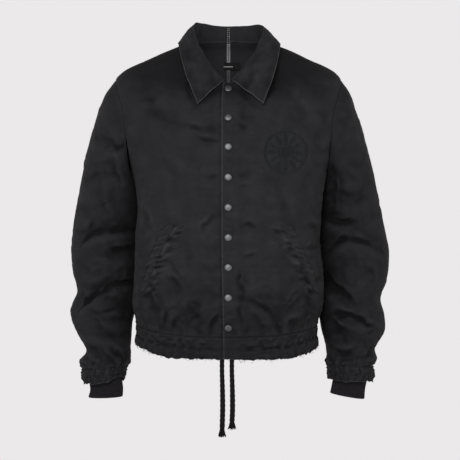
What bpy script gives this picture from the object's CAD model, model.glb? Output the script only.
"""Black coach jacket with no wearer: the looks of its cloth, knit, metal and thread.

Sizes are millimetres until a mesh is made. +Z is up, the fronts face -Y and the wearer's left side
is +X. The body is one surface, a stack of rings between the hem and the neck seam, and each cloth
piece is a wall behind a grid of points on it. The main creases lie where the solids have them, and
finer ones, gathers and puckers are added along the surface's own normal.
"""

from __future__ import annotations

import logging
import math
from dataclasses import dataclass, field
from enum import Enum
from typing import Callable

import bpy
import numpy as np
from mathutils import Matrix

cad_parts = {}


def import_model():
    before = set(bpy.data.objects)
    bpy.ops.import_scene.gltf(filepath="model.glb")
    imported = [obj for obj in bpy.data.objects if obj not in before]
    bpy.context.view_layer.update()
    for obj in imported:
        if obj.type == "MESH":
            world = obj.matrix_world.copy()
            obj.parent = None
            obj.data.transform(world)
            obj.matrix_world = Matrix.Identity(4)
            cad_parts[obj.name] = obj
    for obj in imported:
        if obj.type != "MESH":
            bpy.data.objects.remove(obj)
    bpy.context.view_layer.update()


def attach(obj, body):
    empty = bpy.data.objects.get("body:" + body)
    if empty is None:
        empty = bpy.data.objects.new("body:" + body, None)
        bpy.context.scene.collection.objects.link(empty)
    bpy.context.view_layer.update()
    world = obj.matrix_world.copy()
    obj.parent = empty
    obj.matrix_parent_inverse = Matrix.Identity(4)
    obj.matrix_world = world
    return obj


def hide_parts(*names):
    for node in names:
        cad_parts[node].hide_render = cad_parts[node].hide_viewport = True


Array = np.ndarray
Tree = bpy.types.NodeTree
Socket = bpy.types.NodeSocket
LOG = logging.getLogger("jacket")
MM = 0.001
WALL = 1.5  # twill with its facing or lining
SEAM_GAP = 0.1  # less than the real seams pull apart, so no light falls through them
FAR_FROM_EDGE = 60.0  # where a turned edge no longer counts as rubbed
REVERSE_RELIEF = 2.0  # the cloth's inner side is paler, as in the raised parts of the outer one


class Side(Enum):
    """The wearer's right or left side, as the sign of its x."""

    RIGHT = -1
    LEFT = 1

    @property
    def word(self) -> str:
        """The side's name in lower case."""
        return self.name.lower()


# Arithmetic on whole arrays


def table(*rows: tuple[float, ...]) -> Array:
    """A field of a class that holds these rows of numbers."""
    return field(default_factory=lambda: np.array(rows, float))


def xyz(x: Array | float, y: Array | float, z: Array | float) -> Array:
    """Points of these coordinates, each spread to the shape of all."""
    return np.stack(np.broadcast_arrays(x, y, z), axis=-1)


def curve_through(knots: Array, values: Array, at: Array) -> Array:
    """Smooth curve through values of any shape, one for each knot.

    Between two knots it is the cubic whose ends have the values there, and the slopes there are
    those between neighbouring knots.

    Args:
        knots: Rising places along the curve.
        values: What the curve runs through at each knot.
        at: Places to read the curve at.

    Returns:
        The values at those places.
    """
    knots, values, at = (np.asarray(a, float) for a in (knots, values, at))
    shape, values = (*at.shape, *values.shape[1:]), values.reshape(len(values), -1)
    slopes = np.gradient(values, knots, axis=0)
    index = np.clip(np.searchsorted(knots, at, side="right") - 1, 0, len(knots) - 2)
    step = (knots[index + 1] - knots[index])[..., None]
    t = (at - knots[index])[..., None] / step
    start = (2 * t**3 - 3 * t**2 + 1) * values[index] + (t**3 - 2 * t**2 + t) * step * slopes[index]
    end = (3 * t**2 - 2 * t**3) * values[index + 1] + (t**3 - t**2) * step * slopes[index + 1]
    return (start + end).reshape(shape)


def ramp(value: Array | float, low: float, high: float) -> Array:
    """0 below low, 1 above high, and the smooth step 3t^2 - 2t^3 between."""
    t = np.clip((np.asarray(value, float) - low) / (high - low), 0.0, 1.0)
    return t * t * (3 - 2 * t)


def power(value: Array, exponent: Array | float) -> Array:
    """The size of value raised to exponent, with value's own sign."""
    return np.sign(value) * np.abs(value) ** exponent


def unit(vectors: Array) -> Array:
    """Vectors of length one: each divided by its own length."""
    return vectors / np.maximum(np.linalg.norm(vectors, axis=-1, keepdims=True), 1e-9)


def bell(share: Array) -> Array:
    """A soft bump: exp(-s^2)."""
    return np.exp(-(share**2))


def turns(count: int) -> Array:
    """Angles of so many even steps round a circle, from 0."""
    return 2 * math.pi * np.arange(count) / count


def rumple(place: Array, seed: int) -> Array:
    """Smooth random hills and hollows between -1 and 1.

    A lattice of random heights one unit apart, mixed by the smooth step along each axis.

    Args:
        place: Points, already divided by the size of a hill along each axis.
        seed: Picks the lattice.

    Returns:
        One height for each point.
    """
    period = 32
    heights = np.random.default_rng(seed).uniform(-1.0, 1.0, (period, period, period))
    cell = np.floor(place).astype(int)
    t = place - cell
    t = t * t * (3 - 2 * t)
    total = np.zeros(place.shape[:-1])
    for corner in np.ndindex(2, 2, 2):
        weight = np.prod(np.where(corner, t, 1 - t), axis=-1)
        total += weight * heights[tuple(np.moveaxis((cell + corner) % period, -1, 0))]
    return total


def crumple(points: Array, seed: int) -> Array:
    """Crumpled cloth: flats between sharp hollows, at three sizes, each in patches of its own.

    Each size adds its depth times (|rumple| - 0.3) of points pushed about by a wider rumple, and
    its hollows are longer across than up.
    """
    pushed = points + 9.0 * rumple(points / 37.0, seed)[..., None]
    total = np.zeros(points.shape[:-1])
    for number, (size, depth) in enumerate(((32.0, 2.6), (17.0, 1.4), (9.5, 0.7)), start=1):
        patch = ramp(rumple(points / (1.7 * size), seed + 10 * number), -0.6, 0.5)
        cell = (1.3 * size, 1.3 * size, 0.8 * size)
        total += depth * patch * (np.abs(rumple(pushed / cell, seed + number)) - 0.3)
    return total


def wobbled(points: Array, reach: float, seed: int) -> tuple[Array, Array]:
    """x and z of points, pushed about by up to reach so that what follows them wanders."""
    wide, narrow = points / 17.0, points / 7.0
    x = points[..., 0] + reach * rumple(wide, seed) + 0.4 * reach * rumple(narrow, seed + 1)
    z = points[..., 2] + reach * rumple(wide, seed + 2) + 0.4 * reach * rumple(narrow, seed + 3)
    return x, z


def blurred(values: Array, reach: int, tube: bool) -> Array:
    """Values averaged over a square of neighbours in a grid, twice.

    Args:
        values: The grid.
        reach: Rows and columns on each side that count.
        tube: Whether its columns close into a ring.

    Returns:
        The smoother grid.
    """
    for _ in range(2):
        for axis, mode in ((0, "edge"), (1, "wrap" if tube else "edge")):
            pads = [(0, 0), (0, 0)]
            pads[axis] = (reach + 1, reach)
            total = np.cumsum(np.pad(values, pads, mode=mode), axis=axis)
            count = 2 * reach + 1
            high = np.take(total, np.arange(count, total.shape[axis]), axis=axis)
            low = np.take(total, np.arange(0, total.shape[axis] - count), axis=axis)
            values = (high - low) / count
    return values


def spaced(length: float, step: float, fine: tuple[float, ...] = (0.0, 0.8, 1.8, 3.2)) -> Array:
    """Shares from 0 to 1 along a length, in even steps, and closer together at both ends."""
    near = np.array(fine) / length
    count = max(int(round((length - 2 * fine[-1]) / step)), 1)
    middle = np.linspace(near[-1], 1 - near[-1], count + 1)[1:-1]
    return np.concatenate([near, middle, 1 - near[::-1]])


def run_lengths(points: Array, axis: int) -> Array:
    """Distance run along one axis of a grid of points, from 0 at its start."""
    steps = np.linalg.norm(np.diff(points, axis=axis), axis=-1)
    start = np.zeros_like(np.take(steps, [0], axis=axis))
    return np.concatenate([start, np.cumsum(steps, axis=axis)], axis=axis)


# Meshes


@dataclass
class Cloth:
    """A grid of points on a piece of cloth and what its finish reads from it."""

    outer: Array
    inner: Array
    tube: bool = False
    edge: Array | None = None
    height: Array | None = None
    dye: Array | float = 0.0
    reach: int = 3

    def unrolled(self) -> Array:
        """The outer grid, with a tube's first column once more at its end."""
        return np.concatenate([self.outer, self.outer[:, :1]], axis=1) if self.tube else self.outer

    def weave_map(self) -> Array:
        """UV in metres, run round and up the middle of the piece, one column more on a tube."""
        across, along = run_lengths(self.unrolled(), 1), run_lengths(self.unrolled(), 0)
        middle = across[:, across.shape[1] // 2]
        return np.stack([across - middle[:, None], along], axis=-1) * MM

    def object(self, name: str, finish: Finish) -> bpy.types.Object:
        """The wall between both grids as an object.

        Args:
            name: The object's name.
            finish: What it is dressed in.

        Returns:
            The object, with its weave map and its edge and relief attributes.
        """
        rows, columns = self.outer.shape[:2]
        count = rows * columns
        places = np.arange(columns + 1) if self.tube else np.arange(columns)
        outside = np.arange(count).reshape(rows, columns)[:, places % columns]
        inside = outside + count
        width = len(places)
        flat = np.arange(rows * width).reshape(rows, width)

        def quads(*corners: Array) -> Array:
            """Faces of four corners each."""
            return np.stack(corners, axis=-1).reshape(-1, 4)

        def wall(near: Array, far: Array) -> Array:
            """Faces of both sides and of the rims between them, from their points' numbers."""
            made = [quads(g[:-1, :-1], g[:-1, 1:], g[1:, 1:], g[1:, :-1]) for g in (near, far)]
            made[1] = made[1][:, ::-1]
            for edge in rims:
                one, other = near[edge], far[edge]
                made.append(quads(one[1:], one[:-1], other[:-1], other[1:]))
            return np.concatenate(made)

        rims = [np.s_[0, :], np.s_[-1, ::-1]]
        if not self.tube:
            rims += [np.s_[::-1, 0], np.s_[:, -1]]
        faces, corners = wall(outside, inside), wall(flat, flat)
        points = np.concatenate([self.outer.reshape(-1, 3), self.inner.reshape(-1, 3)])
        obj = new_object(name, points, faces, finish, self.weave_map().reshape(-1, 2)[corners])
        edge = np.full((rows, columns), FAR_FROM_EDGE) if self.edge is None else self.edge
        height = np.zeros((rows, columns)) if self.height is None else self.height
        relief = height - blurred(height, self.reach, self.tube) - self.dye
        reverse = np.full(relief.shape, REVERSE_RELIEF)
        for word, values in (("edge", (edge, edge)), ("relief", (relief, reverse))):
            layer = obj.data.attributes.new(word, "FLOAT", "POINT")
            layer.data.foreach_set("value", np.concatenate(values, axis=None).astype(np.float32))
        return obj

    def sheet(self, name: str, finish: Finish, node: str, held: str, rests_on: list[str]) -> None:
        """Args:
            name: The piece's name.
            finish: What it is dressed in.
            node: The solid that it stands for.
            held: How the sheet is held.
            rests_on: What holds it.
        """
        piece = self.object(name, finish)
        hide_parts(node)


def new_object(
    name: str, points: Array, faces: Array, finish: Finish, weave: Array | None = None
) -> bpy.types.Object:
    """An object of points in millimetres, turned outwards and shaded smooth.

    Args:
        name: The object's name.
        points: Its points, one a row.
        faces: Point numbers, one face a row.
        finish: What it is dressed in.
        weave: UV of each face's corners, or None.

    Returns:
        The object, linked to the scene, at the origin.
    """
    corners = points[faces]
    fans = [np.cross(corners[:, k], corners[:, k + 1]) for k in range(1, faces.shape[1] - 1)]
    volume = sum((corners[:, 0] * fan).sum() for fan in fans)
    if volume < 0:
        faces = faces[:, ::-1]
        weave = None if weave is None else weave[:, ::-1]
    mesh = bpy.data.meshes.new(name)
    mesh.vertices.add(len(points))
    mesh.vertices.foreach_set("co", (points * MM).astype(np.float32).ravel())
    mesh.loops.add(faces.size)
    mesh.loops.foreach_set("vertex_index", faces.astype(np.int32).ravel())
    mesh.polygons.add(len(faces))
    mesh.polygons.foreach_set("loop_start", np.arange(0, faces.size, faces.shape[1], dtype=np.int32))
    if weave is not None:
        layer = mesh.uv_layers.new(name="weave")
        layer.uv.foreach_set("vector", weave.astype(np.float32).ravel())
    mesh.update(calc_edges=True)
    mesh.shade_smooth()
    mesh.set_sharp_from_angle(angle=math.radians(60))
    mesh.materials.append(finish.material())
    obj = bpy.data.objects.new(name, mesh)
    bpy.context.scene.collection.objects.link(obj)
    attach(obj, "root")
    return obj


def closed_tube(name: str, rings: Array, finish: Finish) -> bpy.types.Object:
    """A round form of rings of points, whose first and last ring are one point each.

    Args:
        name: The object's name.
        rings: Rings by points round each by 3.
        finish: What it is dressed in.

    Returns:
        The object.
    """
    points = np.concatenate([rings[0, :1], rings[1:-1].reshape(-1, 3), rings[-1, :1]])
    number = 1 + np.arange(len(points) - 2).reshape(rings[1:-1].shape[:2])
    following = np.roll(number, -1, axis=1)
    cells = [
        (number[:-1], number[1:], following[1:]), (number[:-1], following[1:], following[:-1]),
        (0 * number[0], number[0], following[0]),
        (number[-1], 0 * number[-1] + len(points) - 1, following[-1])]
    faces = [np.stack(cell, axis=-1).reshape(-1, 3) for cell in cells]
    return new_object(name, points, np.concatenate(faces), finish)


def strands(paths: Array, radius: Array, sides: int) -> tuple[Array, Array]:
    """Closed round strands along many paths at once.

    Each ring is the strand's point plus its radius times (cos t, sin t) in the plane across the
    path, and a fan closes each end.

    Args:
        paths: Strands by points along each by 3.
        radius: Strands by points, the radius at each.
        sides: Corners of a ring.

    Returns:
        Points and triangles of all the strands.
    """
    count, length = paths.shape[:2]
    along = unit(np.gradient(paths, axis=1))
    start = unit(np.cross(along, np.where(np.abs(along[..., 2:]) < 0.8, (0, 0, 1.0), (1.0, 0, 0))))
    other = np.cross(along, start)
    turn = turns(sides)
    spokes = np.cos(turn)[:, None] * start[:, :, None] + np.sin(turn)[:, None] * other[:, :, None]
    points = paths[:, :, None] + radius[:, :, None, None] * spokes
    number = np.arange(count * length * sides).reshape(count, length, sides)
    following = np.roll(number, -1, axis=2)
    quads = np.stack([number[:, :-1], following[:, :-1], following[:, 1:], number[:, 1:]], axis=-1)
    quads = quads.reshape(-1, 4)
    faces = [quads[:, [0, 1, 2]], quads[:, [0, 2, 3]]]
    for corner in range(1, sides - 1):
        faces.append(number[:, 0, [0, corner + 1, corner]])
        faces.append(number[:, -1, [0, corner, corner + 1]])
    return points.reshape(-1, 3), np.concatenate(faces)


# Finishes


def linear(hex_code: str) -> tuple[float, float, float, float]:
    """A colour such as 2a2b2d turned from sRGB to linear, with alpha 1."""
    values = [int(hex_code[i : i + 2], 16) / 255 for i in (0, 2, 4)]
    lit = [v / 12.92 if v <= 0.04045 else ((v + 0.055) / 1.055) ** 2.4 for v in values]
    return (*lit, 1.0)


def wave_scale(spacing_mm: float) -> float:
    """Scale of a wave texture with bands this far apart: pi / 10 divided by the metres."""
    return math.pi / 10 / (spacing_mm * MM)


def set_inputs(tree: Tree, node: bpy.types.Node, inputs: dict) -> None:
    """Gives inputs, by name or number, a value each, or links them to an output."""
    for socket, value in inputs.items():
        if isinstance(value, Socket):
            tree.links.new(value, node.inputs[socket])
        else:
            node.inputs[socket].default_value = value


def add_node(tree: Tree, kind: str, inputs: dict | None = None, **settings: object) -> bpy.types.Node:
    """A node with its settings and its inputs.

    Args:
        tree: Where the node goes.
        kind: The node's type, without ShaderNode before it.
        inputs: For each input, by name or number, a value or an output to link.
        settings: Attributes of the node itself.

    Returns:
        The node.
    """
    node = tree.nodes.new("ShaderNode" + kind)
    for word, value in settings.items():
        setattr(node, word, value)
    set_inputs(tree, node, inputs or {})
    return node


@dataclass(frozen=True)
class Finish:
    """A finish: its name, the record's slot it stands for, and its colours as sRGB hex values."""

    name: str
    slot: str
    colour: str
    other: str
    roughness: float = 0.85

    def material(self) -> bpy.types.Material:
        """The finish as a material, made once."""
        if self.name in bpy.data.materials:
            return bpy.data.materials[self.name]
        material = bpy.data.materials.new(self.name)
        material.use_nodes = True
        tree = material.node_tree
        inputs = {"Roughness": self.roughness, **self.shade(tree)}
        set_inputs(tree, tree.nodes["Principled BSDF"], inputs)
        return material

    def mottled(self, tree: Tree, size_mm: float, low: float, high: float) -> Socket:
        """Both colours mixed by cloudy noise.

        Args:
            tree: The material's nodes.
            size_mm: Size of a cloud.
            low: Noise at which the first colour is pure.
            high: Noise at which the second colour is pure.

        Returns:
            The colour's output.
        """
        place = add_node(tree, "TexCoord").outputs["Object"]
        clouds = {"Vector": place, "Scale": 1 / (size_mm * MM), "Detail": 5, "Roughness": 0.6}
        noise = add_node(tree, "TexNoise", clouds).outputs["Fac"]
        share = add_node(tree, "MapRange", {"Value": noise, "From Min": low, "From Max": high})
        colours = {0: share.outputs[0], 6: linear(self.colour), 7: linear(self.other)}
        return add_node(tree, "Mix", colours, data_type="RGBA").outputs[2]

    def shade(self, tree: Tree) -> dict:
        """The shader's inputs, by name: values, or outputs of nodes that this adds."""
        raise NotImplementedError


@dataclass(frozen=True)
class WashedTwill(Finish):
    """Cotton twill, woven, dyed black and garment-washed.

    Diagonal ribs of the weave catch a dull sheen. Washing leaves it charcoal in clouds, with its
    dye kept in the bottoms of creases and rubbed grey along turned edges.
    """

    rubbed: str = "484849"
    sunk: str = "101012"
    raised: str = "3c3c3f"
    rib_mm: float = 1.3
    rib_turn: float = math.radians(-27)
    rub_width_mm: float = 2.3
    sheen: float = 0.02

    def shade(self, tree: Tree) -> dict:
        """Colour, sheen, and the bump of the weave and of the cloth's small rumples."""
        place = add_node(tree, "TexCoord").outputs["Object"]
        patchy = add_node(tree, "TexNoise", {"Vector": place, "Scale": 1 / (5 * MM), "Detail": 3})
        edge = add_node(tree, "Attribute", attribute_name="edge").outputs["Fac"]
        relief = add_node(tree, "Attribute", attribute_name="relief").outputs["Fac"]
        spans = (
            (edge, self.rub_width_mm, 0.3 * self.rub_width_mm, 0, 1),
            (patchy.outputs["Fac"], 0.3, 0.6, 0.35, 1), (relief, -0.1, -2.6, 0, 0.95),
            (relief, 0.2, 3, 0, 1))
        names = ("Value", "From Min", "From Max", "To Min", "To Max")
        ranges = (add_node(tree, "MapRange", dict(zip(names, span))) for span in spans)
        nearness, patch, low, high = (node.outputs[0] for node in ranges)
        rub = add_node(tree, "Math", {0: nearness, 1: patch}, operation="MULTIPLY").outputs[0]
        colour = self.mottled(tree, 42, 0.36, 0.64)
        for amount, shade in ((low, self.sunk), (high, self.raised), (rub, self.rubbed)):
            layers = {0: amount, 6: colour, 7: linear(shade)}
            colour = add_node(tree, "Mix", layers, data_type="RGBA").outputs[2]
        weave = add_node(tree, "UVMap", uv_map="weave").outputs[0]
        turned = add_node(tree, "Mapping", {"Vector": weave, "Rotation": (0, 0, self.rib_turn)}).outputs[0]
        # Real twill has a rib each 0.5 mm; it is drawn coarser so that it shows from near.
        twill = {"Vector": turned, "Scale": wave_scale(self.rib_mm), "Distortion": 1.2, "Detail": 1}
        ribs = add_node(tree, "TexWave", twill, bands_direction="X").outputs["Fac"]
        cloudy = {"Vector": place, "Scale": 1 / (11 * MM), "Detail": 4, "Roughness": 0.55}
        rumples = add_node(tree, "TexNoise", cloudy).outputs["Fac"]
        small = add_node(tree, "Bump", {"Strength": 0.5, "Distance": 0.12 * MM, "Height": ribs}).outputs[0]
        wide = {"Strength": 0.55, "Distance": 1.1 * MM, "Height": rumples, "Normal": small}
        normal = add_node(tree, "Bump", wide).outputs[0]
        return {"Base Color": colour, "Normal": normal, "Specular IOR Level": 0.12,
                "Sheen Weight": self.sheen, "Sheen Roughness": 0.5}


@dataclass(frozen=True)
class RibKnit(Finish):
    """Cotton rib knit with elastane: smooth columns of loops, blacker than the twill."""

    loop_mm: float = 1.8
    sheen: float = 0.02

    def shade(self, tree: Tree) -> dict:
        """The colour, and the bump of rows of loops across the ribs."""
        weave = add_node(tree, "UVMap", uv_map="weave").outputs[0]
        rows = {"Vector": weave, "Scale": wave_scale(self.loop_mm), "Distortion": 0.6}
        loops = add_node(tree, "TexWave", rows, bands_direction="Y").outputs["Fac"]
        bump = add_node(tree, "Bump", {"Strength": 0.6, "Distance": 0.25 * MM, "Height": loops})
        return {"Base Color": self.mottled(tree, 6, 0.3, 0.7), "Normal": bump.outputs[0],
                "Specular IOR Level": 0.1, "Sheen Weight": self.sheen}


@dataclass(frozen=True)
class OxidisedMetal(Finish):
    """Brass snap caps plated gunmetal and oxidised: grey, satin, patchy where handled."""

    def shade(self, tree: Tree) -> dict:
        """A metal whose colour and roughness vary in small patches."""
        place = add_node(tree, "TexCoord").outputs["Object"]
        noise = add_node(tree, "TexNoise", {"Vector": place, "Scale": 1 / (1.5 * MM)}).outputs["Fac"]
        low, high = self.roughness - 0.1, self.roughness + 0.12
        rough = add_node(tree, "MapRange", {"Value": noise, "To Min": low, "To Max": high}).outputs[0]
        return {"Base Color": self.mottled(tree, 2.2, 0.35, 0.6), "Roughness": rough, "Metallic": 1}


@dataclass(frozen=True)
class Thread(Finish):
    """Spun or filament thread: small twisted yarns, with a sheen along them."""

    sheen: float = 0.05

    def shade(self, tree: Tree) -> dict:
        """Both colours in small clouds, a soft gloss and a little fuzz."""
        place = add_node(tree, "TexCoord").outputs["Object"]
        yarns = {"Vector": place, "Scale": 1 / (0.8 * MM), "Detail": 2}
        fuzz = add_node(tree, "TexNoise", yarns).outputs["Fac"]
        bump = add_node(tree, "Bump", {"Strength": 0.5, "Distance": 0.15 * MM, "Height": fuzz})
        return {"Base Color": self.mottled(tree, 2.5, 0.3, 0.7), "Normal": bump.outputs[0],
                "Specular IOR Level": 0.2, "Sheen Weight": self.sheen}


@dataclass(frozen=True)
class WovenRibbon(Finish):
    """Woven ribbon, for the seam tape and the label: fine weft ribs across it."""

    rib_mm: float = 1.0
    sunk: str = "2c2c2e"

    def shade(self, tree: Tree) -> dict:
        """The colour, soiled where the relief is low, and the bump of the ribs across it."""
        relief = add_node(tree, "Attribute", attribute_name="relief").outputs["Fac"]
        soiled = add_node(tree, "MapRange", {"Value": relief, "From Min": 0, "From Max": -2}).outputs[0]
        layers = {0: soiled, 6: self.mottled(tree, 4, 0.3, 0.7), 7: linear(self.sunk)}
        colour = add_node(tree, "Mix", layers, data_type="RGBA").outputs[2]
        weave = add_node(tree, "UVMap", uv_map="weave").outputs[0]
        weft = {"Vector": weave, "Scale": wave_scale(self.rib_mm)}
        ribs = add_node(tree, "TexWave", weft, bands_direction="Y").outputs["Fac"]
        bump = add_node(tree, "Bump", {"Strength": 0.5, "Distance": 0.15 * MM, "Height": ribs})
        return {"Base Color": colour, "Normal": bump.outputs[0]}


TWILL = WashedTwill("washed cotton twill", "black_twill", "242426", "2b2b2d", 0.9)
KNIT = RibKnit("cotton rib knit", "rib_knit", "1e1d1f", "252326", 0.95)
GUNMETAL = OxidisedMetal("oxidised gunmetal plate", "gunmetal", "5c5d5f", "747576", 0.45)
BRAID = Thread("braided cotton cord", "cotton_braid", "0c0c0e", "161618", 0.9, 0.02)
SEWING_THREAD = Thread("spun cotton thread", "cotton_braid", "2c2c2e", "373739", 0.9)
PALE_THREAD = Thread("undyed chain stitch thread", "seam_tape", "cfcecb", "e6e5e1", 0.8)
EMBROIDERY = Thread("viscose embroidery thread", "cotton_braid", "212325", "27292b", 0.5)
TAPE = WovenRibbon("herringbone seam tape", "seam_tape", "98989a", "a6a6a8", 0.85)
LABEL = WovenRibbon("damask woven label", "woven_label", "09090a", "101011", 0.7, 0.7, "050506")


# The body's form


def soft_profile(share: Array) -> Array:
    """Section of a main crease: -exp(-s^2), and a bank of 0.45 on one side of it."""
    return 0.45 * bell((share - 1.7) / 1.2) - bell(share)


def sharp_profile(share: Array) -> Array:
    """Section of a small crease: a steep side under a crest, and a long rise on the other side.

    With s the distance divided by the width, it is -exp(-s^2) with s stretched on the long side and
    squeezed on the steep one, plus a narrow crest beyond the steep side.
    """
    squeezed = np.where(share > 0, share / 1.7, share / 0.62)
    return 0.35 * bell((share + 1.4) / 0.7) - bell(squeezed)


def crease(x: Array, z: Array, folds: Array, profile: Callable[[Array], Array] = soft_profile) -> Array:
    """How far a table of creases moves the cloth along its normal, as seen from the front.

    A crease runs along a quadratic curve from its start through its middle to its end. The cloth
    moves by depth times the profile of its distance divided by the width, which fades to both ends
    as the sine of the run. Below a crease that runs to +x the distance is positive.

    Args:
        x: Places across.
        z: Places up.
        folds: Rows of start x and z, middle x and z, end x and z, depth, width.
        profile: The section across a crease.

    Returns:
        The movement at each place.
    """
    moved = np.zeros_like(x)
    samples = 25
    t = np.linspace(0, 1, samples)[:, None]
    for x0, z0, x1, z1, x2, z2, depth, width in folds:
        start, middle, end = np.array([x0, z0]), np.array([x1, z1]), np.array([x2, z2])
        low = np.minimum(np.minimum(start, middle), end) - 4.5 * width
        high = np.maximum(np.maximum(start, middle), end) + 4.5 * width
        near = (x > low[0]) & (x < high[0]) & (z > low[1]) & (z < high[1])
        if not near.any():
            continue
        bend = 2 * middle - (start + end) / 2
        line = (1 - t) ** 2 * start + 2 * t * (1 - t) * bend + t**2 * end
        along = unit(np.gradient(line, axis=0))
        away = np.stack([x[near][:, None] - line[:, 0], z[near][:, None] - line[:, 1]], axis=-1)
        distances = np.linalg.norm(away, axis=-1)
        nearest = distances.argmin(axis=-1)
        pick = np.arange(len(nearest))
        side = away[pick, nearest, 0] * along[nearest, 1] - away[pick, nearest, 1] * along[nearest, 0]
        past = np.sum(away[pick, nearest] * along[nearest], axis=-1)
        run = nearest / (samples - 1)
        run = run + np.clip(past, -width, width) / max(np.linalg.norm(end - start), 1) / 2
        run = np.clip(run, 0.04, 0.96)
        beyond = (nearest == 0) | (nearest == samples - 1)
        distance = np.sqrt(side**2 + np.where(beyond, past**2, 0))
        signed = np.where(side > 0, distance, -distance)
        taper = np.sin(math.pi * run) ** 0.6
        moved[near] += depth * taper * profile(signed / width)
    return moved


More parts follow.
